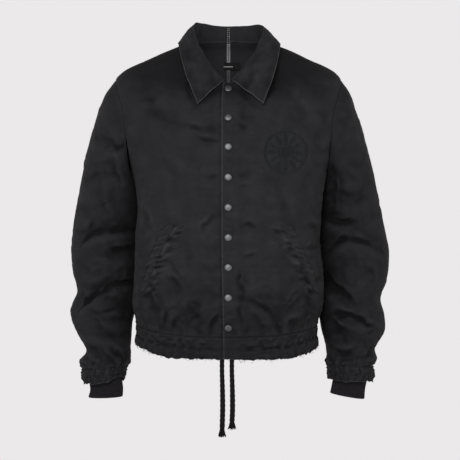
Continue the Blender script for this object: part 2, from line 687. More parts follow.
@dataclass
class BodyForm:
    """The body of the jacket: rings from the hem edge up to the neck seam, and its creases.

    Ring columns: level, z at the front, side and back, half width, depth to the front and to the
    back, squareness, shift and tilt. A point at an angle from the centre front is
    (shift + half width * sin^(2/squareness), -depth * cos^(2/squareness)), and its z runs from the
    side's to the front's or the back's as |cos|^dip.
    """

    rings: Array = table(
        (0, -620.5, -597.5, -602, 184.5, 136, 122, 2.6, -3.5, 3),  # hem edge
        (22, -597, -577, -581, 181.5, 131.5, 118, 2.6, -3.5, 1.5),  # middle of the band
        (40, -578, -559, -563, 181, 130, 118, 2.6, -3, 0.5),  # band seam
        (75, -546, -528, -531, 188.5, 141, 131, 2.6, -2, 0),  # blouse over the band
        (140, -480, -466, -466, 188.5, 142, 136, 2.6, 1, 0),  # waist
        (230, -392, -384, -380, 184, 140, 142, 2.6, -2, 0),  # pockets
        (300, -320, -312, -306, 184, 139, 147, 2.6, 4, 0),  # ribs
        (356, -262, -256, -248, 194, 137, 148, 2.6, 2, 0),  # underarm
        (430, -196, -172, -165, 222, 131, 141, 2.6, 0, 0),  # chest
        (495, -150, -107, -98, 227, 117, 125, 2.3, 0, 0),  # yoke
        (535, -122, -70.5, -58, 223.5, 103, 105, 2.1, 0, 0),  # shoulder point
        (610, -98, -26.5, -12, 150, 87, 83, 2, 0, 0),  # shoulder slope
        (685, -85.5, 4, 9, 79, 77, 63, 2, 0, 0),  # neck seam
    )
    front_creases: Array = table(
        (-164, -72, -140, -134, -76, -158, 7, 17),  # shoulder to chest, right
        (-196, -120, -176, -190, -186, -240, 5, 13),  # beside the right armhole
        (-54, -192, -36, -206, -17, -198, 4, 11),  # drags at the opening
        (-50, -272, -34, -268, -18, -272, 3.5, 10), (-62, -352, -38, -344, -18, -347, 4, 10),
        (22, -158, 36, -153, 56, -164, 4, 10), (16, -272, 32, -260, 50, -256, 3.5, 10),
        (20, -374, 40, -366, 58, -370, 4, 10), (22, -452, 28, -490, 24, -544, 5, 12),
        (30, -500, 84, -520, 104, -566, 9, 13),  # long fold above the band, left
        (-54, -500, -76, -530, -86, -562, 7, 13),  # folds above the band, right
        (-14, -520, -26, -544, -36, -564, 4.5, 11), (-160, -470, -138, -516, -134, -556, 7, 13),
        (-116, -440, -104, -470, -100, -500, 4, 12), (112, -540, 132, -510, 152, -496, 5, 12),
        (142, -514, 154, -536, 158, -560, 6, 12),
        (120, -120, 150, -170, 182, -200, 6, 15),  # drag to the left armhole
        (196, -120, 178, -190, 186, -240, 5, 13),  # beside the left armhole
        (-168, -256, -152, -300, -158, -360, 4.5, 15),  # beside the sleeves
        (170, -240, 154, -300, 160, -360, 4.5, 15),
    )
    front_fine_creases: Array = table(
        (-80, -166, -46, -176, -17, -170, 2.2, 6),  # drags at the opening, right
        (-66, -186, -44, -196, -16, -200, 2, 4.5), (-56, -262, -36, -268, -17, -262, 1.8, 4),
        (-56, -374, -38, -354, -16, -343, 2.4, 4.5), (-60, -396, -40, -404, -18, -400, 1.6, 5),
        (-44, -440, -30, -446, -17, -442, 1.5, 4.5),
        (12, -160, 26, -172, 44, -170, 2.2, 5),  # drags at the opening, left
        (14, -262, 30, -266, 46, -258, 1.8, 4), (16, -292, 30, -288, 44, -290, 1.4, 4),
        (20, -366, 36, -361, 52, -366, 2.6, 4), (8, -430, 32, -420, 62, -418, 2.6, 4.5),
        (24, -444, 22, -474, 44, -504, 2.6, 4), (26, -506, 22, -530, 28, -556, 2, 3.5),
        (36, -506, 72, -520, 102, -568, 3.8, 4),  # core of the long fold
        (44, -530, 60, -544, 66, -560, 1.4, 4),
        (106, -520, 122, -502, 140, -486, 2.6, 4),  # under the left pocket
        (114, -528, 130, -510, 146, -496, 2.4, 4), (150, -364, 164, -361, 178, -364, 2.4, 4.5),
        (148, -402, 160, -404, 174, -400, 2.2, 4.5),
        (-118, -452, -106, -468, -88, -482, 1.8, 4.5),  # under the right pocket
        (-104, -440, -96, -458, -80, -472, 1.4, 4.5), (-164, -486, -154, -504, -140, -526, 2, 4.5),
        (-82, -556, -68, -540, -52, -528, 2.8, 5), (-38, -562, -26, -544, -14, -530, 3, 4.5),
        (-110, -566, -104, -548, -96, -536, 2.4, 6), (-126, -562, -122, -540, -126, -520, 2, 6),
        (118, -562, 128, -546, 142, -540, 2.6, 6), (60, -566, 70, -556, 84, -558, 2.2, 5),
        (-178, -330, -160, -352, -150, -386, 2.4, 8), (-150, -96, -120, -120, -104, -150, 2, 9),
        (96, -96, 128, -118, 150, -150, 2, 9),
        (-130, -230, -100, -260, -84, -310, 1.6, 13),  # soft drags on the chest
        (84, -280, 104, -320, 108, -360, 1.6, 13),
    )
    back_creases: Array = table(
        (-176, -136, -126, -190, -120, -290, 6.5, 23), (176, -130, 130, -180, 128, -270, 6.5, 23),
        (-60, -340, -84, -440, -70, -556, 7, 20), (70, -390, 94, -470, 84, -556, 8, 19),
        (-164, -400, -138, -490, -136, -556, 8, 16), (158, -430, 140, -500, 144, -556, 8, 16),
        (-38, -480, -26, -520, -32, -560, 6, 13), (30, -460, 42, -510, 34, -560, 6, 14))
    back_fine_creases: Array = table(
        (-150, -170, -110, -230, -104, -300, 2.4, 9), (146, -160, 112, -214, 110, -280, 2.4, 9),
        (-96, -120, -60, -150, -48, -210, 2, 11), (100, -116, 66, -150, 52, -214, 2, 11),
        (-110, -470, -112, -510, -102, -560, 3, 6), (-70, -500, -64, -530, -68, -560, 3, 5.5),
        (-16, -520, -12, -540, -16, -562, 2.6, 5), (12, -500, 18, -530, 12, -562, 2.8, 5.5),
        (60, -510, 66, -536, 60, -562, 2.8, 5), (112, -480, 116, -520, 108, -562, 3, 6),
        (-160, -330, -140, -356, -112, -362, 2.4, 8), (156, -340, 136, -362, 110, -364, 2.4, 8),
        (-128, -420, -110, -432, -90, -428, 2, 7), (128, -410, 108, -424, 88, -418, 2, 7))
    dark_places: Array = table(
        (-84, -76, -77, -106, -66, -138, 1.5, 5),  # beside the collar's points
        (94, -56, 82, -96, 66, -138, 2, 5), (-64, -138, -40, -116, -16, -98, 1.4, 7),
        (62, -140, 40, -118, 16, -98, 1.4, 7),
        (-165, -81, -152, -128, -112, -168, 1.1, 14),  # right shoulder to chest
        (-124, -160, -70, -176, -17, -172, 0.7, 9),
        (-36, -140, -32, -170, -20, -204, 0.8, 11),  # beside the opening
        (32, -122, 28, -150, 22, -182, 0.9, 11),
        (150, -80, 182, -122, 196, -190, 0.9, 13),  # left shoulder to armhole
        (-166, -350, -170, -420, -168, -500, 0.8, 13),  # sides, beside the sleeves
        (166, -330, 172, -420, 166, -510, 0.9, 13),
        (-90, -560, -74, -540, -56, -516, 0.6, 10),  # folds above the band
        (24, -446, 26, -500, 26, -556, 0.4, 9), (40, -512, 80, -524, 102, -564, 0.5, 7),
        (128, -560, 146, -532, 160, -500, 0.6, 12),
    )
    dip: float = 1.6
    hem: float = 0.0
    band: float = 40.0
    underarm: float = 356.0
    shoulder: float = 535.0
    neck: float = 685.0
    armhole_turn: float = math.radians(29.0)
    armhole_roundness: float = 0.62
    lap_edge: tuple = ((0.0, -11.0), (75.0, -12.0), (230.0, -14.5), (480.0, -15.0), (685.0, -12.0))
    underlap_x: float = 15.0
    lap_fade_x: float = 28.0
    lap_rise: float = 2.2
    hem_gathers: int = 56
    hem_gather_depth: float = 2.4
    plain_band_half: float = 36.0
    pocket_top: tuple = (32.5, 256.0)
    pocket_foot: tuple = (58.5, 118.0)
    welt_half_widths: tuple = (11.0, 11.5, 10.0, 5.0)
    snap_x: float = -0.5
    snap_z: float = -99.0
    snap_pitch: float = 57.5
    mean_radius: float = 150.0
    pocket_radius: float = 170.0

    def ring_values(self, level: Array) -> Array:
        """The ring columns after the level, read from the smooth curve through the rings."""
        return curve_through(self.rings[:, 0], self.rings[:, 1:], level)

    def point(self, angle: Array, level: Array) -> Array:
        """Points of the smooth body at these angles and levels, as the class says."""
        angle, level = np.broadcast_arrays(np.asarray(angle, float), np.asarray(level, float))
        values = np.moveaxis(self.ring_values(level), -1, 0)
        z_front, z_side, z_back, half_width, front, back, squareness, shift, tilt = values
        sine, cosine = np.sin(angle), np.cos(angle)
        ahead = cosine > 0
        x = shift + half_width * power(sine, 2 / squareness)
        y = -np.where(ahead, front, back) * power(cosine, 2 / squareness)
        rise = (np.where(ahead, z_front, z_back) - z_side) * np.abs(cosine) ** self.dip
        return xyz(x, y, z_side + rise - tilt * sine)

    def normal(self, angle: Array, level: Array) -> Array:
        """Outward normals of the smooth body, across small steps round it and up it."""
        turn, rise = 0.02, 2.0
        level = np.clip(level, self.hem + rise, self.neck - rise)
        round_it = self.point(angle + turn, level) - self.point(angle - turn, level)
        up_it = self.point(angle, level + rise) - self.point(angle, level - rise)
        return unit(np.cross(round_it, up_it))

    def speed(self, angle: Array, level: Array) -> Array:
        """Millimetres run round the body for each radian of angle."""
        step = 0.01
        run = self.point(angle + step, level) - self.point(angle - step, level)
        return np.linalg.norm(run, axis=-1) / (2 * step)

    def armhole_angle(self, level: Array) -> Array:
        """How far the armhole cuts into a front or a back, as an angle from the side."""
        share = (np.asarray(level, float) - self.underarm) / (self.shoulder - self.underarm)
        return self.armhole_turn * np.sin(math.pi * np.clip(share, 0, 1)) ** self.armhole_roundness

    def armhole_levels(self, columns: int) -> Array:
        """Levels up one side of an armhole that a sleeve of this many columns starts from."""
        share = (1 - np.cos(np.linspace(0, math.pi, columns // 2 + 1))) / 2
        return self.underarm + (self.shoulder - self.underarm) * share

    def angle_at_x(self, x: Array | float, level: Array | float) -> Array:
        """The angle, on the front, at which the ring at this level has this x."""
        values = self.ring_values(level)
        half_width, squareness, shift = values[..., 3], values[..., 6], values[..., 7]
        return np.arcsin(power((x - shift) / half_width, squareness / 2))

    def level_at_z(self, z: Array | float, column: int) -> Array:
        """The level at which a z column of the rings (1 front, 2 side, 3 back) has this z."""
        return np.interp(z, self.rings[:, column], self.rings[:, 0])

    def lap_x(self, levels: Array) -> Array:
        """x of the lapping front's edge at these levels."""
        return np.interp(levels, *np.transpose(self.lap_edge))

    def from_side(self, angle: Array, level: Array) -> Array:
        """Angle from the side seam or the armhole's edge, below 0 inside the armhole."""
        return np.abs(angle % math.pi - math.pi / 2) - self.armhole_angle(level)

    def away_from_opening(self, angle: Array, x: Array, low: float, high: float) -> Array:
        """0 nearer the opening than low, 1 further away than high and all over the back."""
        return np.where(np.cos(angle) > 0, ramp(np.abs(x), low, high), 1.0)

    def main_movement(self, angle: Array, level: Array, over: bool) -> Array:
        """What the solids have too: the main creases, the gathers of the band and the lap.

        Args:
            angle: Angles from the centre front.
            level: Distances up from the hem edge.
            over: Whether this front laps over the other.

        Returns:
            The movement along the normal at each place.
        """
        base = self.point(angle, level)
        x = base[..., 0]
        pushed = wobbled(base, 3.0, 16)
        front, back = (crease(*pushed, folds) for folds in (self.front_creases, self.back_creases))
        moved = np.where(np.cos(angle) > 0, front, back)
        moved *= ramp(self.from_side(angle, level), 0.0, 0.14)
        moved *= ramp(level, self.band, self.band + 14) * ramp(self.neck - level, 0.0, 25.0)
        half = self.plain_band_half
        drawn_in = self.away_from_opening(angle, x, half - 6, half + 6)
        drawn_in *= 1 - ramp(level, 0.6 * self.band, self.band)
        phase = (angle / (2 * math.pi) * self.hem_gathers) % 1.0
        moved -= drawn_in * self.hem_gather_depth * (1 - np.abs(2 * phase - 1))
        if over:
            moved += self.lap_rise * (1 - ramp(x, self.underlap_x, self.lap_fade_x))
        return moved

    def pocket_place(self, angle: Array, level: Array) -> tuple[Array, Array]:
        """Millimetres across from a pocket's centre line, outwards, and the share down it."""
        top_angle, top = self.pocket_top
        foot_angle, foot = self.pocket_foot
        down = (top - level) / (top - foot)
        centre = np.radians(top_angle + (foot_angle - top_angle) * down)
        return (np.abs(angle) - centre) * self.pocket_radius, down

    def fine_movement(self, angle: Array, level: Array) -> Array:
        """Finer relief than the solids have: small creases, rumples, puckers at the sewing.

        Puckers are rumples narrow along a seam and wide across it, under a bell across the seam.

        Args:
            angle: Angles from the centre front.
            level: Distances up from the hem edge.

        Returns:
            The movement along the normal at each place.
        """
        base = self.point(angle, level)
        x, z = base[..., 0], base[..., 2]
        ahead = np.cos(angle) > 0
        pushed, tables = wobbled(base, 4.5, 12), (self.front_fine_creases, self.back_fine_creases)
        front, back = (crease(*pushed, folds, sharp_profile) for folds in tables)
        moved = np.where(ahead, front, back) * (0.75 + 0.9 * rumple(base / 22.0, 11))
        moved += 1.1 * rumple(base / (58.0, 58.0, 74.0), 3)
        lively = 0.7 + 0.9 * (1 - ramp(level, 90.0, 330.0)) - 0.4 * ramp(level, 500.0, 590.0)
        moved += lively * crumple(base, 4)
        run = angle * self.mean_radius
        low_share = np.exp(-((level - self.band) / 16.0)) * (level > self.band)
        moved += 1.9 * low_share * rumple(xyz(run / 5.0, level / 14.0, 0), 5)
        near_top = np.exp(-(self.neck - level) / 12.0)
        moved += 0.4 * near_top * rumple(xyz(run / 6.0, level / 30.0, 0), 6)
        opening = bell((x - 1.0) / 20.0) * ahead
        across_it = xyz(x / 12.0, level / 3.4, 0)
        patches = ramp(rumple(base / 38.0, 14), -0.5, 0.4)
        moved += 2.0 * opening * patches * rumple(across_it, 7)
        across, down = self.pocket_place(angle, level)
        inner_side = bell((across + 21.0) / 19.0) + 0.6 * bell((across - 10.0) / 8.0)
        beside = inner_side * ramp(down, -0.08, 0.06) * (1 - ramp(down, 0.98, 1.14)) * ahead
        tucks = xyz(across / 15.0 + 3 * np.sign(x), (level + 0.25 * across) / 5.6, 0)
        moved += beside * (3.4 * rumple(tucks, 8) + 1.2 * rumple(tucks * 1.9, 9))
        half_width = np.interp(down, np.linspace(0, 1, len(self.welt_half_widths)), self.welt_half_widths)
        open_part = ramp(down, -0.02, 0.03) * (1 - ramp(down, 0.72, 1.0)) * ahead
        moved -= 1.9 * open_part * bell((across - half_width - 1.4) / 1.7)
        drop = (self.snap_z - z + self.snap_pitch / 2) % self.snap_pitch - self.snap_pitch / 2
        from_snap = np.hypot(x - self.snap_x, drop)
        moved -= bell((from_snap - 8.6) / 1.7) * ahead
        beside_lap = x - self.lap_x(level)
        moved -= 1.5 * bell((beside_lap + 1.0) / 1.8) * ahead * (beside_lap < 0.8)
        moved -= 0.6 * bell((beside_lap - 4.0) / 1.3) * ahead
        from_side = self.from_side(angle, level)
        for from_seam in (from_side, np.abs(angle - math.pi)):
            moved -= 0.7 * bell(from_seam * self.mean_radius / 1.8)
        return moved * ramp(from_side, -0.02, 0.03)

    def band_movement(self, angle: Array, level: Array) -> Array:
        """Relief of the hem band: two sewn channels that pucker between their stitch rows."""
        run = angle * self.mean_radius
        loose = self.away_from_opening(angle, self.point(angle, level)[..., 0], 14.0, 44.0)
        lumps, tucks = xyz(run / 8.0, level / 3.8, 0), xyz(run / 3.2, level / 5.0, 0)
        moved = (0.3 + 0.7 * loose) * (1.5 * rumple(lumps, 21) + 0.8 * rumple(tucks, 22))
        moved *= 0.55 + 0.45 * ramp(level, 12.0, 20.0)
        for sewn, depth in ((1.5, 0.9), (19.0, 1.9)):
            moved -= depth * bell((level - sewn) / 2.0)
        return moved

    def cloth(self, angle: Array, level: Array, over: bool = False, fine: bool = True) -> Cloth:
        """Cloth at these angles and levels.

        Args:
            angle: Angles from the centre front.
            level: Distances run up the side from the hem edge.
            over: Whether this front laps over the other.
            fine: Whether the finer relief is added.

        Returns:
            The cloth's grids and its height above the smooth body.
        """
        angle, level = np.broadcast_arrays(np.asarray(angle, float), np.asarray(level, float))
        base, normal = self.point(angle, level), self.normal(angle, level)
        moved = self.main_movement(angle, level, over)
        height = 0.25 * moved
        if fine:
            relief = np.where(level < self.band, self.band_movement(angle, level), 0.0)
            relief = np.where(level >= self.band, self.fine_movement(angle, level), relief)
            held = self.away_from_opening(angle, base[..., 0], 10.0, 34.0)
            relief = relief * (0.45 + 0.55 * held) * ramp(np.abs(level - self.band), -2.0, 6.0)
            relief -= 1.2 * bell((level - self.band) / 1.8)
            moved, height = moved + relief, height + relief
        outer = base + normal * moved[..., None]
        dye = 1.3 * (1 - ramp(level, 60.0, 190.0)) + 1.9 * ramp(level, 500.0, 600.0)
        if fine:
            pushed = wobbled(base, 5.0, 17)
            dye = dye + crease(*pushed, self.dark_places, bell) * (np.cos(angle) > 0)
        return Cloth(outer, outer - normal * WALL, height=height, dye=dye)


# Cut pieces of the body


@dataclass
class BodyPanels:
    """Fronts, backs and hem bands, cut out of the body between named angles and levels."""

    form: BodyForm
    step: float = 3.25
    side_lengths: dict[str, float] = field(default_factory=lambda: {"front": 250.0, "back": 300.0})

    def even_angles(self, first: Array, last: Array, levels: Array, shares: Array) -> Array:
        """Angles between two edges at given shares of each ring's own length."""
        fine = first[:, None] + (last - first)[:, None] * np.linspace(0, 1, 121)
        run = run_lengths(self.form.point(fine, levels[:, None]), 1)
        rows = [np.interp(shares * total[-1], total, angles) for total, angles in zip(run, fine)]
        return np.array(rows)

    def seam_angle(self, levels: Array, direction: int) -> Array:
        """The left side seam and armhole, half a seam's gap to the front (-1) or the back (1)."""
        edge = math.pi / 2 + direction * self.form.armhole_angle(levels)
        return edge + direction * SEAM_GAP / 2 / self.form.speed(edge, levels)

    def back_centre(self, levels: Array) -> Array:
        """The centre back seam, half its gap towards the wearer's left."""
        centre = np.full_like(levels, math.pi)
        return centre - SEAM_GAP / 2 / self.form.speed(centre, levels)

    def front_angles(self, levels: Array, side: Side) -> Array:
        """Angles of a front's columns between its opening edge and its side seam.

        Args:
            levels: The grid's levels.
            side: Which front; the left one's edge laps over.

        Returns:
            Levels by columns.
        """
        form = self.form
        seam = self.seam_angle(levels, -1)
        if side is Side.LEFT:
            edge = form.angle_at_x(form.lap_x(levels), levels)
            flat = form.angle_at_x(form.lap_fade_x, levels)
            length = form.lap_fade_x + 14.0
        else:
            edge = -form.angle_at_x(form.underlap_x + 0 * levels, levels)
            flat = -form.angle_at_x(-form.lap_fade_x, levels)
            length = form.lap_fade_x + form.underlap_x
        opening = self.even_angles(edge, flat, levels, spaced(length, 2.4))
        rest = self.even_angles(flat, seam, levels, spaced(self.side_lengths["front"], self.step)[3:])
        angles = np.concatenate([opening, rest], axis=1)
        return angles if side is Side.LEFT else -angles[:, ::-1]

    def levels(self) -> Array:
        """Levels of a front or a back, closer together at the band seam and the neck seam."""
        low, high = self.form.band + SEAM_GAP / 2, self.form.neck
        return low + (high - low) * spaced(high - low, self.step)

    def from_lap(self, cloth: Cloth, levels: Array) -> Array:
        """Distance from the lapping edge, which is rubbed 2.6 mm in from its own rim."""
        return np.abs(cloth.outer[..., 0] - self.form.lap_x(levels)[:, None] - 2.6) + 0.9

    def build(self) -> None:
        """Makes the fronts, the backs and the four lengths of the hem band."""
        self.build_fronts()
        self.build_backs()
        self.build_hem_bands()

    def build_fronts(self) -> None:
        """Makes both fronts; the left one laps over and its edge is rubbed."""
        levels = self.levels()
        for side in Side:
            angles = self.front_angles(levels, side)
            cloth = self.form.cloth(angles, levels[:, None], over=side is Side.LEFT)
            if side is Side.LEFT:
                from_neck = 0.5 * (self.form.neck - levels)[:, None] + 0.2
                cloth.edge = np.minimum(self.from_lap(cloth, levels), from_neck)
            held_by = ["collar", f"back_{side.word}"]
            cloth.sheet(f"cloth_front_{side.word}", TWILL, f"front_{side.word}", "hung", held_by)

    def build_backs(self) -> None:
        """Makes both backs, from the side seam to the centre back seam."""
        levels = self.levels()
        shares = spaced(self.side_lengths["back"], self.step)
        left = self.even_angles(self.seam_angle(levels, 1), self.back_centre(levels), levels, shares)
        for side in Side:
            angles = left if side is Side.LEFT else 2 * math.pi - left[:, ::-1]
            cloth = self.form.cloth(angles, levels[:, None])
            held_by = ["collar", f"front_{side.word}"]
            cloth.sheet(f"cloth_back_{side.word}", TWILL, f"back_{side.word}", "hung", held_by)

    def build_hem_bands(self) -> None:
        """Makes the drawn-in band: its lower edge is raw and uneven, and rubbed along the fray."""
        form = self.form
        high = form.band - SEAM_GAP / 2
        levels = high * spaced(high, 1.9, (0.0, 1.0, 2.2))
        seam, behind, middle = (
            self.seam_angle(levels, -1), self.seam_angle(levels, 1), self.back_centre(levels))
        edge = form.angle_at_x(form.lap_x(levels), levels)
        underlap = form.angle_at_x(form.underlap_x + 0 * levels, levels)
        spans = {
            ("front", Side.LEFT): (edge, seam), ("front", Side.RIGHT): (-seam, underlap),
            ("back", Side.LEFT): (behind, middle),
            ("back", Side.RIGHT): (2 * math.pi - middle, 2 * math.pi - behind)}
        for (word, side), (first, last) in spans.items():
            shares = spaced(self.side_lengths[word], 2.0)
            angles = self.even_angles(first, last, levels, shares)
            over = word == "front" and side is Side.LEFT
            cloth = form.cloth(angles, levels[:, None], over=over)
            place = xyz(angles * form.mean_radius / 7.0, 0, 0)
            ragged = 1.5 * rumple(place, 31) + 1.1 * rumple(place * 2.7, 32)
            ragged -= 4.5 * bell((np.abs(cloth.outer[..., 0]) - 122.0) / 38.0) * (np.cos(angles) > 0)
            ragged *= (1 - ramp(levels, 0, 14))[:, None]
            cloth.outer[..., 2] += ragged
            cloth.inner[..., 2] += ragged
            cloth.edge = np.broadcast_to(levels[:, None] + 0.8, angles.shape)
            if over:
                cloth.edge = np.minimum(cloth.edge, self.from_lap(cloth, levels))
            panel = f"{word}_{side.word}"
            cloth.sheet(f"cloth_hem_band_{panel}", TWILL, f"hem_band_{panel}", "gathered", [panel])


# Sleeves and cuffs


@dataclass
class Sleeve:
    """A sleeve: a tube of rings from the armhole to the edge of its drawn-in end, and its rib cuff.

    Ring columns: outer x and z, inner x and z, centre y and half depth, with x measured outward.
    A ring is the ellipse centre + cos(t) * (outer - inner) / 2 - sin(t) * half depth along y.
    """

    form: BodyForm
    side: Side
    rings: Array
    creases: Array
    fine_creases: Array
    rib_rings: Array
    dark_places: Array
    edge_lift: float
    back_creases: Array = table(
        (308, -424, 256, -392, 206, -398, 12, 15),  # over the point of the elbow
        (306, -500, 260, -470, 204, -486, 13, 15), (270, -190, 256, -260, 236, -320, 7, 18),
        (296, -560, 254, -576, 216, -562, 9, 13), (280, -614, 248, -606, 220, -614, 6, 11),
    )
    back_fine_creases: Array = table(
        (300, -406, 270, -384, 236, -376, 2.8, 6), (296, -446, 258, -436, 214, -450, 2.6, 6),
        (300, -520, 270, -512, 232, -524, 2.8, 6), (290, -590, 262, -598, 226, -588, 2.6, 5),
        (254, -140, 244, -180, 226, -210, 2.4, 9))
    seam_row: float = 13.0
    edge_row: float = 15.0
    clearance: float = 1.4
    samples: int = 31
    sample_reach: float = 0.95
    gathers: int = 20
    gather_depth: float = 2.2
    rib_count: int = 60
    rib_relief: float = 0.8
    knit_wall: float = 2.2
    columns: int = 148
    dye: float = 0.6
    dye_inside: float = 0.8

    def armhole(self, columns: int) -> tuple[Array, Array, Array]:
        """Points, body normals and ways into the armhole, from the shoulder down the front."""
        form = self.form
        levels = form.armhole_levels(columns)
        level = np.concatenate([levels[::-1], levels[1:-1]])
        way = np.where(np.arange(columns) <= columns // 2, -1, 1)
        angle = math.pi / 2 + way * form.armhole_angle(level)
        points, normals = form.point(angle, level), form.normal(angle, level)
        chord = np.roll(points, -1, axis=0) - np.roll(points, 1, axis=0)
        inward = unit(np.cross(chord, normals))
        inward *= np.sign(np.sum(inward * (points.mean(axis=0) - points), axis=1))[:, None]
        mirrored = (self.side.value, 1, 1)
        return points * mirrored, normals * mirrored, inward * mirrored

    def clear_inner_x(self, sizes: Array) -> Array:
        """The outward x at which each ring's inner side just clears the body, along its depth.

        At a share of its half depth a ring lies between its outer and inner sides, with the inner
        one's share (1 + sqrt(1 - share^2)) / 2. The body there is its superellipse.
        """
        form, reach = self.form, self.sample_reach
        outer_x, outer_z, _, inner_z, centre_y, half_depth = sizes.T[:, :, None]
        share = np.linspace(-reach, reach, self.samples)
        inner_share = (1 + np.sqrt(1 - share**2)) / 2
        y = centre_y + share * half_depth
        body_level = form.level_at_z(outer_z * (1 - inner_share) + inner_z * inner_share, 2)
        body = np.moveaxis(form.ring_values(body_level), -1, 0)
        half_width, front, back, squareness, shift = body[3:8]
        narrowed = 1 - (np.abs(y) / np.where(y < 0, front, back)) ** squareness
        body_x = self.side.value * shift + half_width * np.maximum(narrowed, 0) ** (1 / squareness)
        needed = (body_x + self.clearance - outer_x * (1 - inner_share)) / inner_share
        return needed.max(axis=1)

    def ring_points(self, sizes: Array, columns: int) -> Array:
        """Points of each ring of a table of sizes, from the outer side round the front."""
        outer_x, outer_z, inner_x, inner_z, centre_y, half_depth = sizes.T
        beside = inner_z > self.form.rings[0, 2]
        inner_x = np.where(beside, np.maximum(inner_x, self.clear_inner_x(sizes)), inner_x)
        outer = xyz(outer_x, centre_y, outer_z)[:, None]
        inner = xyz(inner_x, centre_y, inner_z)[:, None]
        turn = turns(columns)[:, None]
        depth = xyz(0, half_depth, 0)[:, None]
        rings = (outer + inner) / 2 + np.cos(turn) * (outer - inner) / 2 - np.sin(turn) * depth
        return rings * (self.side.value, 1, 1)

    def surface(self, rows: Array, columns: int) -> tuple[Array, Array]:
        """The smooth sleeve between its rings.

        Args:
            rows: Places along it; row 0 is the armhole and the first ring is row 1.
            columns: Points round it.

        Returns:
            Points and outward normals.
        """
        hole, facing, inward = self.armhole(columns)
        rings = np.concatenate([hole[None], self.ring_points(self.rings, columns)])
        knots = np.arange(len(rings))
        points, below, above = (
            curve_through(knots, rings, np.clip(rows + shift, 0, knots[-1])) for shift in (0, 0.1, -0.1))
        down_it = below - above
        round_it = np.roll(points, -1, axis=1) - np.roll(points, 1, axis=1)
        normals = unit(np.cross(round_it, down_it)) * self.side.value
        agree = np.sum(normals[:1] * facing, axis=-1, keepdims=True)
        seam_share = (1 - ramp(rows, 0.0, 0.35))[:, None, None] * ramp(agree, 0.0, 0.5)
        normals = unit(seam_share * facing + (1 - seam_share) * normals)
        if rows[0] == 0:
            lean = np.sum(normals[0] * inward, axis=1, keepdims=True)
            points[0] += inward * (SEAM_GAP + WALL * np.maximum(lean, 0))
            points[0] += facing * SEAM_GAP * np.maximum(-agree[0], 0)
        return points, normals

    def wheel(self, rows: Array, columns: int, around: float, down: float) -> Array:
        """Places for rumples on a tube: a wheel this many hills round by this many each row."""
        turn = turns(columns)
        radius = around / math.pi
        return xyz(np.cos(turn) * radius, np.sin(turn) * radius, rows[:, None] * down)

    def movement(self, points: Array, normals: Array, rows: Array) -> tuple[Array, Array]:
        """Creases and rumples of the sleeve along its normal.

        Args:
            points: The smooth sleeve.
            normals: The way it faces.
            rows: Place of each row of points along it.

        Returns:
            The movement, and what of it takes the dye.
        """
        outward = self.side.value
        front = ramp(-normals[..., 1], 0.05, 0.5)
        back = ramp(normals[..., 1], 0.05, 0.5)
        x, z = wobbled(points, 3.0, 54)
        moved = front * crease(x, z, self.creases)
        moved += back * crease(outward * x, z, self.back_creases)
        ends = ramp(rows, 0.0, 1.0) * (1 - ramp(rows, self.seam_row - 0.6, self.seam_row))
        moved *= ends[:, None]
        x, z = wobbled(points, 4.5, 50)
        fine = front * crease(x, z, self.fine_creases, sharp_profile)
        fine += back * crease(outward * x, z, self.back_fine_creases, sharp_profile)
        fine *= 0.75 + 0.9 * rumple(points / 22.0, 41)
        fine += 1.3 * rumple(points / (60.0, 60.0, 44.0), 42)
        fine += 0.9 * crumple(points, 43)
        fine *= (ramp(rows, 0.0, 0.5) * (1 - 0.6 * ramp(rows, 12.0, 13.0)))[:, None]
        tucks = self.wheel(rows, points.shape[1], 15.0, 1.5)
        near_cuff = ramp(rows, 11.0, 12.8)[:, None]
        puffs = 5.0 * np.abs(rumple(tucks, 44)) + 1.8 * np.abs(rumple(tucks * 2.0, 45)) - 1.6
        fine += near_cuff * puffs
        seam = bell((rows - 0.02) / 0.05) + bell((rows - self.seam_row) / 0.12)
        fine -= 0.8 * seam[:, None]
        return moved + fine, 0.25 * moved + fine

    def dye_left(self, points: Array) -> Array:
        """How much more dye the cloth keeps: beside the body, and in its dark places in front."""
        turn = turns(points.shape[1])
        in_front = np.sin(turn) > 0
        beside = self.dye_inside * ramp(-np.cos(turn), -0.2, 0.9)
        return self.dye + beside + in_front * crease(*wobbled(points, 6.0, 55), self.dark_places, bell)

    def build(self) -> None:
        """Makes the sleeve, its drawn-in end and the rib cuff inside."""
        rows = np.concatenate([[0.0, 0.05, 0.12, 0.22, 0.35], np.linspace(0.45, self.seam_row, 176)])
        points, normals = self.surface(rows, self.columns)
        points[-1, :, 2] += SEAM_GAP / 2
        moved, height = self.movement(points, normals, rows)
        outer = points + normals * moved[..., None]
        dye = self.dye_left(points)
        cloth = Cloth(outer, outer - normals * WALL, tube=True, height=height, dye=dye)
        word = self.side.word
        sleeve, end = f"sleeve_{word}", f"cuff_{word}"
        cloth.sheet(f"cloth_{sleeve}", TWILL, sleeve, "hung", [f"front_{word}", f"back_{word}"])
        self.drawn_in_end().sheet(f"cloth_{end}", TWILL, end, "gathered", [sleeve])
        self.rib_cuff().sheet(f"knit_{end}", KNIT, f"rib_{end}", "stretched", [end])

